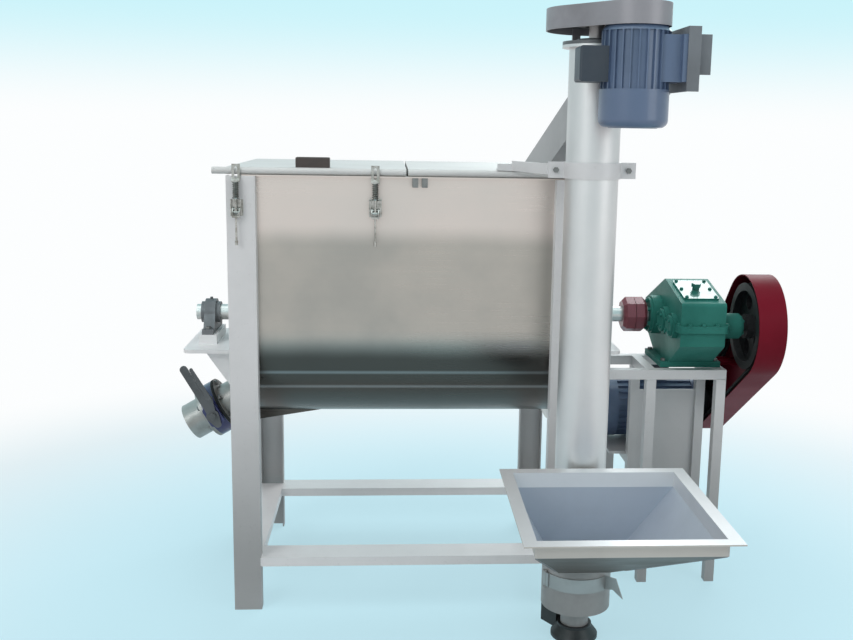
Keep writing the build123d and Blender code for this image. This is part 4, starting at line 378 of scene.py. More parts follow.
# Finishes, each with the nodes that wear it
finishes = {
    "troughStainless": dict(
        colour=(0.46, 0.425, 0.385), second=(0.36, 0.335, 0.31), metal=1.0, rough=0.22, roughSwing=0.07,
        cloud=0.7, speck=0.05, soilScale=1.7, brush="brushX", streak=0.3, bump=0.05, bumpDepth=0.0004,
        # painted reflections: the near-black band is the shaded floor mirrored in the lower bend, the two
        # thin lines are painted light reflections; the top is a lighter, warmer tint
        bands=dict(
            Upper=(0.75, (0.74, 0.645, 0.60)),
            Low=(0.9, (0.066, 0.055, 0.049)),
            ReflectionLines=(0.6, (0.34, 0.34, 0.34)),
        ),
        wears=["trough_shell"],
    ),
    "endStainless": dict(
        colour=(0.66, 0.635, 0.615), second=(0.55, 0.53, 0.515), metal=0.9, rough=0.3, roughSwing=0.08,
        cloud=0.5, speck=0.06, soilScale=2.0, brush="brushX", streak=0.25, bump=0.05, bumpDepth=0.0004,
        wears=["end_plates"],
    ),
    "lidStainless": dict(
        colour=(0.68, 0.665, 0.65), second=(0.58, 0.57, 0.56), metal=0.3, rough=0.5, roughSwing=0.08,
        cloud=0.5, speck=0.06, soilScale=2.0, brush="brushX", streak=0.25, bump=0.05, bumpDepth=0.0004,
        specular=0.25,
        wears=["lid", "cover_fixed"],
    ),
    "tubeStainless": dict(
        colour=(0.70, 0.675, 0.67), second=(0.60, 0.575, 0.57), metal=0.8, rough=0.36, roughSwing=0.08,
        cloud=0.5, speck=0.05, soilScale=2.2, brush="brushZ", streak=0.2, bump=0.05, bumpDepth=0.0004,
        wears=["auger_tube", "auger_screw"],
    ),
    "dischargeSteel": dict(
        colour=(0.46, 0.44, 0.42), second=(0.27, 0.255, 0.24), metal=0.65, rough=0.28, roughSwing=0.12,
        cloud=0.8, speck=0.1, soilScale=9.0, brush="brushX", streak=0.3, bump=0.06, bumpDepth=0.0004,
        wears=["discharge_pipe", "outlet_spout", "valve_disc"],
    ),
    "ribbonStainless": dict(
        colour=(0.62, 0.61, 0.59), second=(0.48, 0.47, 0.45), metal=1.0, rough=0.3, roughSwing=0.12,
        cloud=0.6, soilScale=5.0, brush="brushX", streak=0.3, bump=0.06, bumpDepth=0.0005,
        wears=["outer_ribbons", "inner_ribbons", "mixer_shaft"],
    ),
    # painted shade: legs, stand and panel are darkened towards the floor
    "framePaint": dict(
        colour=(0.79, 0.785, 0.79), second=(0.69, 0.685, 0.685), metal=0.15, rough=0.42, roughSwing=0.1,
        cloud=0.6, speck=0.12, speckColour=(0.42, 0.41, 0.4), soilScale=2.6, peel=240.0, bump=0.12,
        bumpDepth=0.0006, worn=0.35, wornColour=(0.5, 0.5, 0.5), shade=(0.16, 0.95, (0.56, 0.56, 0.555)),
        wears=["frame_legs", "drive_stand", "motor_base", "stand_panel", "tube_clamp"],
    ),
    # painted light: the frame's paint made lighter on the rails to stand in for their lit tops
    "railPaintLightened": dict(
        colour=(0.92, 0.92, 0.925), second=(0.82, 0.82, 0.825), metal=0.1, rough=0.36, roughSwing=0.1,
        cloud=0.6, speck=0.12, speckColour=(0.5, 0.49, 0.48), soilScale=2.6, peel=240.0, bump=0.12,
        bumpDepth=0.0006, worn=0.3, wornColour=(0.6, 0.6, 0.6),
        wears=["frame_rails"],
    ),
    "chutePaint": dict(
        colour=(0.44, 0.44, 0.445), second=(0.36, 0.36, 0.365), metal=0.25, rough=0.42, roughSwing=0.1,
        cloud=0.6, speck=0.12, soilScale=3.2, peel=240.0, bump=0.12, bumpDepth=0.0006, worn=0.35,
        wornColour=(0.6, 0.6, 0.6),
        wears=["feed_chute"],
    ),
    "shelfPaint": dict(
        colour=(0.94, 0.94, 0.945), second=(0.86, 0.86, 0.865), metal=0.05, rough=0.45, roughSwing=0.1,
        cloud=0.6, speck=0.1, soilScale=3.0, peel=240.0, bump=0.12, bumpDepth=0.0006, worn=0.3,
        wears=["bearing_shelves"],
    ),
    # painted shade below the rim height, bluish; outside a darker, warmer tint, with painted shadow on the
    # underside
    "hopperSheet": dict(
        colour=(0.80, 0.80, 0.81), second=(0.68, 0.68, 0.69), metal=0.45, rough=0.36, roughSwing=0.1,
        cloud=0.6, shade=(0.5455, 0.5465, (0.71, 0.76, 0.83)),
        outer=((0.333, -0.556, 0.75), (0.78, 0.72, 0.66), (0.24, 0.19, 0.16)), specular=0.3, speck=0.08,
        soilScale=2.4, brush="brushX", streak=0.18, bump=0.06, bumpDepth=0.0005,
        wears=["hopper"],
    ),
    "bootPaint": dict(
        colour=(0.37, 0.36, 0.355), second=(0.28, 0.275, 0.27), metal=0.3, rough=0.42, roughSwing=0.1,
        cloud=0.7, speck=0.15, soilScale=6.0, peel=240.0, bump=0.15, bumpDepth=0.0006, worn=0.3,
        wears=["boot"],
    ),
    "flapStainless": dict(
        colour=(0.44, 0.435, 0.43), second=(0.30, 0.295, 0.29), metal=0.7, rough=0.34, roughSwing=0.1,
        cloud=0.4, soilScale=7.0, brush="brushX", streak=0.2, bump=0.05, bumpDepth=0.0004,
        wears=["cleanout_cover"],
    ),
    "gearboxEnamel": dict(
        colour=(0.040, 0.225, 0.185), second=(0.025, 0.165, 0.135), metal=0.0, rough=0.4, roughSwing=0.1,
        cloud=0.7, speck=0.15, speckColour=(0.03, 0.2, 0.16), soilScale=6.0, cast=130.0, bump=0.3,
        bumpDepth=0.0012, specular=0.1, worn=0.25, wornColour=(0.10, 0.28, 0.23),
        wears=["gearbox_lower_case", "gearbox_upper_case", "bearing_caps"],
    ),
    "coverEnamel": dict(
        colour=(0.02, 0.19, 0.15), second=(0.012, 0.13, 0.10), metal=0.0, rough=0.25, roughSwing=0.1,
        cloud=0.6, soilScale=8.0, cast=150.0, bump=0.15, bumpDepth=0.0008, coat=0.8, coatRough=0.06,
        wears=["inspection_cover"],
    ),
    "couplingEnamel": dict(
        colour=(0.26, 0.045, 0.068), second=(0.18, 0.03, 0.045), metal=0.0, rough=0.38, roughSwing=0.1,
        cloud=0.7, soilScale=9.0, cast=180.0, bump=0.25, bumpDepth=0.001, coat=0.4, worn=0.3,
        wornColour=(0.3, 0.12, 0.11),
        wears=["coupling"],
    ),
    "guardEnamel": dict(
        colour=(0.185, 0.009, 0.022), second=(0.135, 0.006, 0.015), metal=0.0, rough=0.4, roughSwing=0.08,
        cloud=0.6, soilScale=4.0, peel=200.0, bump=0.12, bumpDepth=0.0007, specular=0.08, worn=0.15,
        wornColour=(0.35, 0.1, 0.1),
        wears=["belt_guard"],
    ),
    "pulleyIron": dict(
        colour=(0.014, 0.014, 0.016), second=(0.028, 0.027, 0.027), metal=0.2, rough=0.45,
        roughSwing=0.12, cloud=0.7, soilScale=7.0, cast=170.0, bump=0.25, bumpDepth=0.001, worn=0.4,
        wornColour=(0.12, 0.12, 0.12),
        wears=["large_pulley", "motor_pulley", "auger_pulley", "auger_motor_pulley"],
    ),
    "beltRubber": dict(
        colour=(0.012, 0.012, 0.012), second=(0.03, 0.03, 0.03), metal=0.0, rough=0.75, roughSwing=0.1,
        cloud=0.6, soilScale=14.0, peel=420.0, bump=0.2, bumpDepth=0.0006,
        wears=["drive_belts", "auger_belt", "valve_seat"],
    ),
    "motorEnamel": dict(
        colour=(0.115, 0.172, 0.285), second=(0.085, 0.13, 0.215), metal=0.0, rough=0.38, roughSwing=0.12,
        cloud=0.7, speck=0.1, soilScale=6.0, cast=210.0, bump=0.2, bumpDepth=0.0008, coat=0.35, worn=0.35,
        wornColour=(0.13, 0.18, 0.24),
        wears=["auger_motor", "auger_motor_fan_cover", "main_motor", "main_motor_fan_cover"],
    ),
    "boxEnamel": dict(
        colour=(0.032, 0.044, 0.062), second=(0.05, 0.06, 0.075), metal=0.0, rough=0.45, roughSwing=0.1,
        cloud=0.6, soilScale=9.0, cast=220.0, bump=0.2, bumpDepth=0.0008, worn=0.3,
        wornColour=(0.15, 0.15, 0.15),
        wears=["auger_motor_terminal_box", "main_motor_terminal_box"],
    ),
    "bracketPaint": dict(
        colour=(0.195, 0.21, 0.23), second=(0.145, 0.155, 0.17), metal=0.2, rough=0.45, roughSwing=0.12,
        cloud=0.7, speck=0.2, soilScale=5.0, peel=230.0, bump=0.15, bumpDepth=0.0007, worn=0.4,
        wornColour=(0.4, 0.4, 0.4),
        wears=["auger_motor_bracket"],
    ),
    "headGuardPaint": dict(
        colour=(0.33, 0.32, 0.345), second=(0.24, 0.235, 0.25), metal=0.2, rough=0.42, roughSwing=0.12,
        cloud=0.7, speck=0.2, soilScale=5.0, peel=230.0, bump=0.15, bumpDepth=0.0007, worn=0.4,
        wornColour=(0.55, 0.54, 0.54),
        wears=["top_belt_guard"],
    ),
    "bearingIron": dict(
        colour=(0.20, 0.205, 0.215), second=(0.12, 0.12, 0.125), metal=0.5, rough=0.42, roughSwing=0.12,
        cloud=0.7, speck=0.2, soilScale=8.0, cast=170.0, bump=0.3, bumpDepth=0.001, worn=0.5,
        wornColour=(0.45, 0.45, 0.45),
        wears=["pillow_blocks", "auger_bearing"],
    ),
    "machinedSteel": dict(
        colour=(0.50, 0.50, 0.50), second=(0.38, 0.37, 0.36), metal=1.0, rough=0.3, roughSwing=0.12,
        cloud=0.6, soilScale=8.0, brush="brushX", streak=0.2, bump=0.06, bumpDepth=0.0004,
        wears=["shaft_seals", "output_shaft", "lid_hinges"],
    ),
    "boltSteel": dict(
        colour=(0.26, 0.255, 0.25), second=(0.17, 0.165, 0.16), metal=0.9, rough=0.34, roughSwing=0.12,
        cloud=0.7, soilScale=30.0, brush="brushX", streak=0.2, bump=0.06, bumpDepth=0.0004,
        wears=["fasteners"],
    ),
    "springSteel": dict(
        colour=(0.20, 0.19, 0.175), second=(0.11, 0.10, 0.09), metal=0.9, rough=0.32, roughSwing=0.12,
        cloud=0.7, soilScale=60.0, brush="brushZ", streak=0.2, bump=0.05, bumpDepth=0.0003,
        wears=[],
    ),
    "latchPlate": dict(
        colour=(0.54, 0.525, 0.50), second=(0.22, 0.195, 0.165), metal=0.95, rough=0.22, roughSwing=0.15,
        cloud=0.75, speck=0.3, speckColour=(0.12, 0.10, 0.08), soilScale=55.0, brush="brushZ",
        brushScale=3.0, streak=0.3, bump=0.05, bumpDepth=0.0003,
        wears=["latch_bases", "latch_lever_left", "latch_lever_right", "latch_hook_left", "latch_hook_right"],
    ),
    "gripBlock": dict(
        colour=(0.055, 0.042, 0.038), second=(0.085, 0.066, 0.058), metal=0.0, rough=0.55, roughSwing=0.1,
        cloud=0.6, soilScale=14.0, cast=260.0, bump=0.2, bumpDepth=0.0007, worn=0.3,
        wornColour=(0.2, 0.17, 0.15),
        wears=["lid_grip"],
    ),
    "valveEnamel": dict(
        colour=(0.030, 0.036, 0.155), second=(0.02, 0.024, 0.10), metal=0.0, rough=0.32, roughSwing=0.1,
        cloud=0.6, soilScale=9.0, cast=190.0, bump=0.25, bumpDepth=0.001, coat=0.5, worn=0.3,
        wornColour=(0.15, 0.16, 0.3),
        wears=["valve_body"],
    ),
    "leverPaint": dict(
        colour=(0.125, 0.13, 0.135), second=(0.08, 0.082, 0.085), metal=0.3, rough=0.4, roughSwing=0.1,
        cloud=0.6, soilScale=12.0, peel=260.0, bump=0.15, bumpDepth=0.0006, worn=0.5,
        wornColour=(0.4, 0.4, 0.4),
        wears=["valve_lever", "valve_trigger"],
    ),
    "footPaint": dict(
        colour=(0.010, 0.010, 0.011), second=(0.022, 0.021, 0.02), metal=0.0, rough=0.4, roughSwing=0.12,
        cloud=0.6, speck=0.2, soilScale=10.0, cast=180.0, bump=0.25, bumpDepth=0.001, worn=0.3,
        wornColour=(0.08, 0.08, 0.08),
        wears=["feeder_foot"],
    ),
}

materials = {}
for finishName, look in finishes.items():
    material = makeFinish(finishName, look)
    materials[finishName] = material
    for nodeName in look["wears"]:
        piece = nodes[nodeName]
        if not piece.material_slots:
            piece.data.materials.append(material)
        for slot in piece.material_slots:
            slot.material = material
print("finishes made:", len(finishes))


# Small metal details, worked out in the machine's own millimetres
machineZero = np.array((230.2436, -420.0, 0.0))
metre = 1000.0


def gridQuads(rows, columns, closeRows, closeColumns):
    # quads between the neighbours of a rows x columns grid, wrapping round where closed
    rowSteps = np.arange(rows if closeRows else rows - 1)
    columnSteps = np.arange(columns if closeColumns else columns - 1)
    row, column = np.meshgrid(rowSteps, columnSteps, indexing="ij")
    nextRow, nextColumn = (row + 1) % rows, (column + 1) % columns
    corners = (
        row * columns + column,
        row * columns + nextColumn,
        nextRow * columns + nextColumn,
        nextRow * columns + column,
    )
    return np.stack(corners, axis=-1).reshape(-1, 4).tolist()


def unit(vector):
    # the vector, or each row of an array of them, at length 1
    vector = np.asarray(vector, dtype=float)
    return vector / np.linalg.norm(vector, axis=-1, keepdims=True)


def axesAround(axis):
    # two directions square to the axis, right-handed with it
    axis = unit(axis)
    helper = np.eye(3)[np.argmin(np.abs(axis))]
    first = unit(np.cross(helper, axis))
    return first, np.cross(axis, first), axis


def sweepWire(path, radii, sides, reference):
    # a circle of changing radius carried along a path, square to it, with a flat cap at each end
    ahead = unit(np.gradient(path, axis=0))
    aside = unit(np.cross(ahead, reference))
    over = np.cross(ahead, aside)
    turn = np.linspace(0.0, 2 * np.pi, sides, endpoint=False)[None, :, None]
    ring = np.cos(turn) * aside[:, None] + np.sin(turn) * over[:, None]
    points = (path[:, None] + np.reshape(radii, (-1, 1, 1)) * ring).reshape(-1, 3)
    last = len(points) - sides
    caps = [list(range(sides))[::-1], list(range(last, last + sides))]
    return points, gridQuads(len(path), sides, False, True) + caps


def turnRing(profile, centre, axis, steps):
    # a closed clockwise outline of (radius, height) turned once round an axis
    first, second, along = axesAround(axis)
    turn = np.linspace(0.0, 2 * np.pi, steps, endpoint=False)[:, None, None]
    radius, height = np.asarray(profile, dtype=float).T[:, None, :, None]
    points = np.asarray(centre) + radius * (np.cos(turn) * first + np.sin(turn) * second) + height * along
    return points.reshape(-1, 3), gridQuads(steps, len(profile), True, True)


def roundOutline(radius, wire, sides):
    # a small circle of the wire's radius, at a distance from the axis
    turn = -np.linspace(0.0, 2 * np.pi, sides, endpoint=False)
    return np.column_stack((radius + wire * np.cos(turn), wire * np.sin(turn)))


# a bolt head as rings of points, with radii and heights as multiples of half the width across its flats
headShape = {"points": 12, "washer": 1.45, "crown": 0.9, "heights": (0.0, 0.2, 0.2, 1.05, 1.2)}


def boltHead(place, axis, flat):
    # hexagon on a washer: the hexagon's radius is flat / cos(angle from the nearest flat)
    first, second, along = axesAround(axis)
    count, rings = headShape["points"], len(headShape["heights"])
    turn = np.arange(count) * 2 * np.pi / count
    hexagon = flat / np.cos((turn + np.pi / 6) % (np.pi / 3) - np.pi / 6)
    washer, crown = (np.full(count, flat * headShape[key]) for key in ("washer", "crown"))
    radius = np.array((washer, washer, hexagon, hexagon, crown))
    height = flat * np.array(headShape["heights"])[:, None, None]
    around = np.cos(turn)[:, None] * first + np.sin(turn)[:, None] * second
    points = np.asarray(place) + radius[:, :, None] * around + height * along
    top = list(range((rings - 1) * count, rings * count))
    return points.reshape(-1, 3), gridQuads(rings, count, False, True) + [top]


# a weld bead: millimetres between its rings and its ripples, and how it swells and ends
beadShape = {
    "step": 1.6, "fewest": 12, "sides": 7, "ripple": 6.4, "swell": 0.13, "taperPower": 24, "tip": 0.04,
}


def weldBead(start, end, radius):
    # a rippled bead from start to end: the radius swells every few millimetres and tapers at both ends
    start, end = np.asarray(start, dtype=float), np.asarray(end, dtype=float)
    length = np.linalg.norm(end - start)
    spot = np.linspace(0.0, 1.0, max(beadShape["fewest"], int(length / beadShape["step"])))
    swell = 1.0 + beadShape["swell"] * np.sin(spot * length * 2 * np.pi / beadShape["ripple"])
    fall = np.abs(2 * spot - 1) ** beadShape["taperPower"]
    taper = np.sqrt(np.clip(1.0 - fall, beadShape["tip"], 1.0))
    path = start + spot[:, None] * (end - start)
    return sweepWire(path, radius * swell * taper, beadShape["sides"], axesAround(end - start)[0])


def addPiece(name, shapes, body, finish, smooth=True):
    # the shapes joined into one mesh at the origin, which rides on a body
    starts = np.cumsum([0] + [len(corners) for corners, quads in shapes]).tolist()
    points = np.concatenate([corners for corners, quads in shapes])
    faces = [
        [index + start for index in quad]
        for start, (corners, quads) in zip(starts, shapes)
        for quad in quads
    ]
    mesh = bpy.data.meshes.new(name)
    mesh.from_pydata(((points - machineZero) / metre).tolist(), [], faces)
    mesh.polygons.foreach_set("use_smooth", np.full(len(faces), smooth))
    mesh.materials.append(materials[finish])
    piece = bpy.data.objects.new(name, mesh)
    scene.collection.objects.link(piece)
    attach(piece, body)
    return piece


# coil springs of the two toggle latches
latchSprings = {
    "spots": {"left": -532.5, "right": -100.0}, "y": -403.0, "heights": (1378.0, 1430.0),
    "turns": 9, "coil": 9.0, "wire": 1.3, "stepsPerTurn": 20, "sides": 8,
}
for side, spotX in latchSprings["spots"].items():
    turns = latchSprings["turns"]
    turn = np.linspace(0.0, 2 * np.pi * turns, latchSprings["stepsPerTurn"] * turns)
    coilPath = np.column_stack((
        spotX + latchSprings["coil"] * np.cos(turn),
        latchSprings["y"] + latchSprings["coil"] * np.sin(turn),
        np.linspace(*latchSprings["heights"], len(turn)),
    ))
    wire = np.full(len(turn), latchSprings["wire"])
    coil = sweepWire(coilPath, wire, latchSprings["sides"], (0.0, 0.0, 1.0))
    addPiece(f"latchSpring_{side}", [coil], f"latch_hook_{side}", "springSteel")

# bolts of the reducer: split flange, bearing caps, inspection cover
reducerBolts = {
    "flangeTop": 959.0, "flangeFlat": 6.5,
    "sideX": (924.5, 1090.5), "sideY": (-282.0, -170.0, 100.0, 190.0),
    "endX": (960.0, 1007.0, 1055.0), "endY": (-296.0, 211.0),
    "axisZ": 947.0,
    "caps": [
        dict(x=886.0, y=0.0, out=-1, ring=50.0, count=6, flat=6.5),
        dict(x=1129.0, y=0.0, out=1, ring=50.0, count=6, flat=6.5),
        dict(x=903.5, y=-115.0, out=-1, ring=30.0, count=4, flat=5.0),
        dict(x=1111.5, y=-115.0, out=1, ring=30.0, count=4, flat=5.0),
        dict(x=903.5, y=-220.0, out=-1, ring=28.0, count=4, flat=5.0),
        dict(x=1159.0, y=-220.0, out=1, ring=28.0, count=4, flat=5.0),
    ],
    "coverMiddle": (1007.5, -175.0, 1061.0),
    "coverUp": (0.0, -0.2286, 0.9735), "coverAlong": (0.0, 0.9735, 0.2286),
    "coverLift": 7.0, "coverX": (-50.0, 50.0), "coverY": (-73.0, 0.0, 73.0), "coverFlat": 5.0,
}
heads = []
flangeSpots = [(x, y) for x in reducerBolts["sideX"] for y in reducerBolts["sideY"]]
flangeSpots += [(x, y) for x in reducerBolts["endX"] for y in reducerBolts["endY"]]
for x, y in flangeSpots:
    heads.append(boltHead((x, y, reducerBolts["flangeTop"]), (0, 0, 1), reducerBolts["flangeFlat"]))
for cap in reducerBolts["caps"]:
    for turn in (np.arange(cap["count"]) + 0.5) * 2 * np.pi / cap["count"]:
        y = cap["y"] + cap["ring"] * np.cos(turn)
        z = reducerBolts["axisZ"] + cap["ring"] * np.sin(turn)
        heads.append(boltHead((cap["x"], y, z), (cap["out"], 0, 0), cap["flat"]))
coverLift = reducerBolts["coverLift"] * np.array(reducerBolts["coverUp"])
coverMiddle = np.array(reducerBolts["coverMiddle"]) + coverLift
for x in reducerBolts["coverX"]:
    for along in reducerBolts["coverY"]:
        spot = coverMiddle + (x, 0, 0) + along * np.array(reducerBolts["coverAlong"])
        heads.append(boltHead(spot, reducerBolts["coverUp"], reducerBolts["coverFlat"]))
addPiece("reducerBolts", heads, "frame", "gearboxEnamel", smooth=False)

# air grilles: round wires on the flat end of each fan cover
grilles = {
    "mainMotorGrille": dict(
        middle=(735.0, 248.0, 540.0), axis=(1, 0, 0), radii=np.arange(20.0, 93.0, 9.0), wire=2.0,
    ),
    "augerMotorGrille": dict(
        middle=(620.5, -769.0, 1616.0), axis=(0, 0, 1), radii=np.arange(16.0, 68.0, 8.5), wire=1.8,
    ),
}
grilleSides, grilleSteps = 6, 40
for grilleName, grille in grilles.items():
    rings = []
    for radius in grille["radii"]:
        outline = roundOutline(radius, grille["wire"], grilleSides)
        rings.append(turnRing(outline, grille["middle"], grille["axis"], grilleSteps))
    addPiece(grilleName, rings, "frame", "motorEnamel")

# black rubber band round the pipe flange beside the valve
flangeBand = {
    "valve": (-669.0, 0.0, 597.0), "flow": (-0.866025, 0.0, -0.5), "reach": (-38.0, -26.0),
    "radius": 95.0, "proud": 0.8, "sunk": 0.5, "bevel": 0.6, "steps": 72,
}
low, high = flangeBand["reach"]
inner = flangeBand["radius"] - flangeBand["sunk"]
outer = flangeBand["radius"] + flangeBand["proud"]
bevel = flangeBand["bevel"]
bandOutline = [(inner, low), (inner, high), (outer, high - bevel), (outer, low + bevel)]
bandRing = turnRing(bandOutline, flangeBand["valve"], flangeBand["flow"], flangeBand["steps"])
addPiece("flangeBand", [bandRing], "frame", "beltRubber")

# weld beads: rail ends, shelf brackets, stand posts, hopper corners, boot neck
welds = {
    "railX": 475.5, "railY": (-383.0, -347.0), "railTop": 184.0, "railFoot": 155.0, "railRadius": 2.6,
    "plateX": 524.5, "bracketY": 150.0, "bracketHalf": 4.0, "bracketZ": (612.0, 834.0), "bracketRadius": 2.8,
    "postX": ((843.0, 877.0), (1091.0, 1125.0)), "postY": (-210.0, 54.0), "postTop": 753.0, "postRadius": 2.4,
    "skirtX": (315.5, 811.5), "skirtY": (-1236.0, -716.0), "skirtZ": (546.0, 586.0),
    "throatX": (467.5, 627.5), "throatY": (-720.0, -660.0), "throatZ": 271.0,
    "seamEnd": 0.86, "seamRadius": 1.8,
    "neckMiddle": (547.5, -584.0, 335.5), "neckRadius": 80.0,
    "neckWire": 3.0, "neckSides": 8, "neckSteps": 96,
}
railBeads = []
bracketBeads = []
for side in (-1, 1):
    for end in (-1, 1):
        nearY, farY = (end * y for y in welds["railY"])
        x = side * welds["railX"]
        corner = (x, nearY, welds["railTop"])
        railBeads.append(weldBead(corner, (x, farY, welds["railTop"]), welds["railRadius"]))
        railBeads.append(weldBead((x, nearY, welds["railFoot"]), corner, welds["railRadius"]))
        for face in (-1, 1):
            y = end * welds["bracketY"] + face * welds["bracketHalf"]
            low, high = ((side * welds["plateX"], y, z) for z in welds["bracketZ"])
            bracketBeads.append(weldBead(low, high, welds["bracketRadius"]))
addPiece("railWelds", railBeads, "frame", "railPaintLightened")
addPiece("bracketWelds", bracketBeads, "frame", "shelfPaint")
postBeads = []
for postX in welds["postX"]:
    for y in welds["postY"]:
        low, high = ((x, y, welds["postTop"]) for x in postX)
        postBeads.append(weldBead(low, high, welds["postRadius"]))
addPiece("standWelds", postBeads, "frame", "framePaint")
seams = []
for skirtX, throatX in zip(welds["skirtX"], welds["throatX"]):
    for skirtY, throatY in zip(welds["skirtY"], welds["throatY"]):
        top = np.array((skirtX, skirtY, welds["skirtZ"][0]))
        bottom = np.array((throatX, throatY, welds["throatZ"]))
        seams.append(weldBead(top, top + welds["seamEnd"] * (bottom - top), welds["seamRadius"]))
        seams.append(weldBead(top, (skirtX, skirtY, welds["skirtZ"][1]), welds["seamRadius"]))
addPiece("hopperWelds", seams, "frame", "hopperSheet")
neckOutline = roundOutline(welds["neckRadius"], welds["neckWire"], welds["neckSides"])
neckRing = turnRing(neckOutline, welds["neckMiddle"], (0, 0, 1), welds["neckSteps"])
addPiece("bootNeckWeld", [neckRing], "frame", "bootPaint")
print("details added")


# Studio: pale floor, pale world, soft lamps
studio = {
    "floorSize": 60.0,
    "floorNear": (0.61, 0.885, 0.975),
    "floorBounce": (0.64, 0.655, 0.66),
    "floorFar": (0.975, 0.99, 0.995),
    "floorFade": (1.1, 3.6),
    "floorGlow": 0.62,
    "floorRough": 0.9,
    "floorSpecular": 0.1,
    "skyHigh": (0.60, 0.90, 0.96),
    "skyLow": (0.975, 0.99, 0.995),
    "skyFade": (0.0, 0.115),
    "skyTint": (0.96, 0.98, 1.0),
    "skyLight": 0.34,
    "lamps": [
        dict(name="topLamp", place=(-0.4, -0.6, 6.4), aim=(0.0, -0.1, 0.8), size=5.0, watts=112),
        dict(name="keyLamp", place=(-3.8, -4.4, 4.2), aim=(0.0, -0.2, 0.9), size=3.0, watts=95),
        dict(name="fillLamp", place=(4.4, -3.6, 2.8), aim=(0.3, -0.2, 0.9), size=3.0, watts=55),
        dict(name="backLamp", place=(1.9, 4.3, 3.9), aim=(0.3, 0.2, 1.0), size=3.2, watts=115),
    ],
}


def directRay(tree):
    # 1 for the camera's own rays and for mirrored and refracted ones, 0 for lighting rays
    path = addNode(tree, "ShaderNodeLightPath")
    direct = mathNode(tree, "ADD", path.outputs["Is Camera Ray"], path.outputs["Is Glossy Ray"])
    return mathNode(tree, "ADD", direct, path.outputs["Is Transmission Ray"], True)


def buildFloor(look):
    # a flat square at z = 0, part lit, part glow; its tint fades with the distance from the middle
    half = look["floorSize"] / 2
    mesh = bpy.data.meshes.new("studioFloor")
    corners = [(-half, -half, 0), (half, -half, 0), (half, half, 0), (-half, half, 0)]
    mesh.from_pydata(corners, [], [(0, 1, 2, 3)])
    floor = bpy.data.objects.new("studioFloor", mesh)
    scene.collection.objects.link(floor)
    material = bpy.data.materials.new("floorMatte")
    material.use_nodes = True
    tree = material.node_tree
    shader = tree.nodes["Principled BSDF"]
    shader.inputs["Roughness"].default_value = look["floorRough"]
    shader.inputs["Specular IOR Level"].default_value = look["floorSpecular"]
    coords = addNode(tree, "ShaderNodeTexCoord")
    reach = addNode(tree, "ShaderNodeVectorMath", operation="LENGTH")
    tree.links.new(coords.outputs["Object"], reach.inputs[0])
    away = rampNode(tree, reach.outputs["Value"], *look["floorFade"])
    tint = mixColour(tree, away, look["floorNear"], look["floorFar"])
    seen = mixColour(tree, directRay(tree), look["floorBounce"], tint)
    tree.links.new(seen, shader.inputs["Base Color"])
    glow = addNode(tree, "ShaderNodeEmission")
    tree.links.new(tint, glow.inputs["Color"])
    mix = addNode(tree, "ShaderNodeMixShader")
    glowing = mathNode(tree, "MAXIMUM", away, look["floorGlow"])
    tree.links.new(mathNode(tree, "MULTIPLY", glowing, directRay(tree)), mix.inputs["Fac"])
    tree.links.new(shader.outputs[0], mix.inputs[1])
    tree.links.new(glow.outputs[0], mix.inputs[2])
    tree.links.new(mix.outputs[0], tree.nodes["Material Output"].inputs["Surface"])
    mesh.materials.append(material)
    return floor


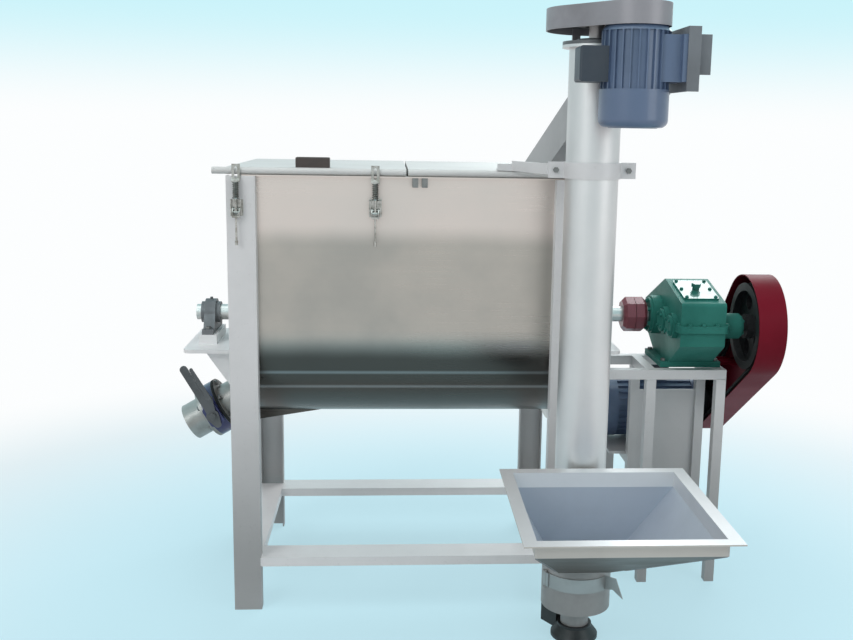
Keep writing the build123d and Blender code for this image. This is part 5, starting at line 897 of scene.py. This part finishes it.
def buildWorld(sky):
    # pale gradient, white at the horizon, for the eye and mirrors; even light for matt faces
    world = bpy.data.worlds.new("studioWorld")
    scene.world = world
    world.use_nodes = True
    tree = world.node_tree
    tree.nodes.clear()
    coords = addNode(tree, "ShaderNodeTexCoord")
    split = addNode(tree, "ShaderNodeSeparateXYZ")
    tree.links.new(coords.outputs["Generated"], split.inputs["Vector"])
    rise = rampNode(tree, split.outputs["Z"], *sky["skyFade"])
    colour = mixColour(tree, rise, sky["skyLow"], sky["skyHigh"])
    seen = addNode(tree, "ShaderNodeBackground")
    seen.inputs["Strength"].default_value = 1.0
    tree.links.new(colour, seen.inputs["Color"])
    lit = addNode(tree, "ShaderNodeBackground")
    lit.inputs["Color"].default_value = (*sky["skyTint"], 1.0)
    lit.inputs["Strength"].default_value = sky["skyLight"]
    mix = addNode(tree, "ShaderNodeMixShader")
    out = addNode(tree, "ShaderNodeOutputWorld")
    tree.links.new(directRay(tree), mix.inputs["Fac"])
    tree.links.new(lit.outputs[0], mix.inputs[1])
    tree.links.new(seen.outputs[0], mix.inputs[2])
    tree.links.new(mix.outputs[0], out.inputs["Surface"])


buildFloor(studio)
buildWorld(studio)
for lamp in studio["lamps"]:
    data = bpy.data.lights.new(lamp["name"], "AREA")
    data.shape = "SQUARE"
    data.size = lamp["size"]
    data.energy = lamp["watts"]
    obj = bpy.data.objects.new(lamp["name"], data)
    scene.collection.objects.link(obj)
    obj.location = lamp["place"]
    toAim = Vector(lamp["aim"]) - Vector(lamp["place"])
    obj.rotation_euler = toAim.to_track_quat("-Z", "Y").to_euler()
print("studio lit:", len(studio["lamps"]), "lamps")


# Camera at the photograph's place
view = {
    "place": (-0.28294, -3.240, 1.6145),
    "yaw": 0.0679, "pitch": 0.1769, "roll": -0.0176,
    "focalPx": 1032.36, "centrePx": (458.85, 309.84), "imagePx": (853.0, 640.0),
    "sensor": 36.0, "reach": 100.0,
}
forward = Vector((
    math.sin(view["yaw"]) * math.cos(view["pitch"]),
    math.cos(view["yaw"]) * math.cos(view["pitch"]),
    -math.sin(view["pitch"]),
))
level = Vector((math.cos(view["yaw"]), -math.sin(view["yaw"]), 0.0))
down = forward.cross(level)
across = math.cos(view["roll"]) * level + math.sin(view["roll"]) * down
downward = -math.sin(view["roll"]) * level + math.cos(view["roll"]) * down
cameraData = bpy.data.cameras.new("photoCamera")
cameraData.sensor_fit = "HORIZONTAL"
cameraData.sensor_width = view["sensor"]
imageWidth, imageHeight = view["imagePx"]
cameraData.lens = view["sensor"] * view["focalPx"] / imageWidth
cameraData.shift_x = (imageWidth / 2 - view["centrePx"][0]) / imageWidth
cameraData.shift_y = (view["centrePx"][1] - imageHeight / 2) / imageWidth
cameraData.clip_end = view["reach"]
camera = bpy.data.objects.new("photoCamera", cameraData)
scene.collection.objects.link(camera)
axes = Matrix((across, -downward, -forward)).transposed().to_4x4()
camera.matrix_world = Matrix.Translation(view["place"]) @ axes
scene.camera = camera
print("camera placed")
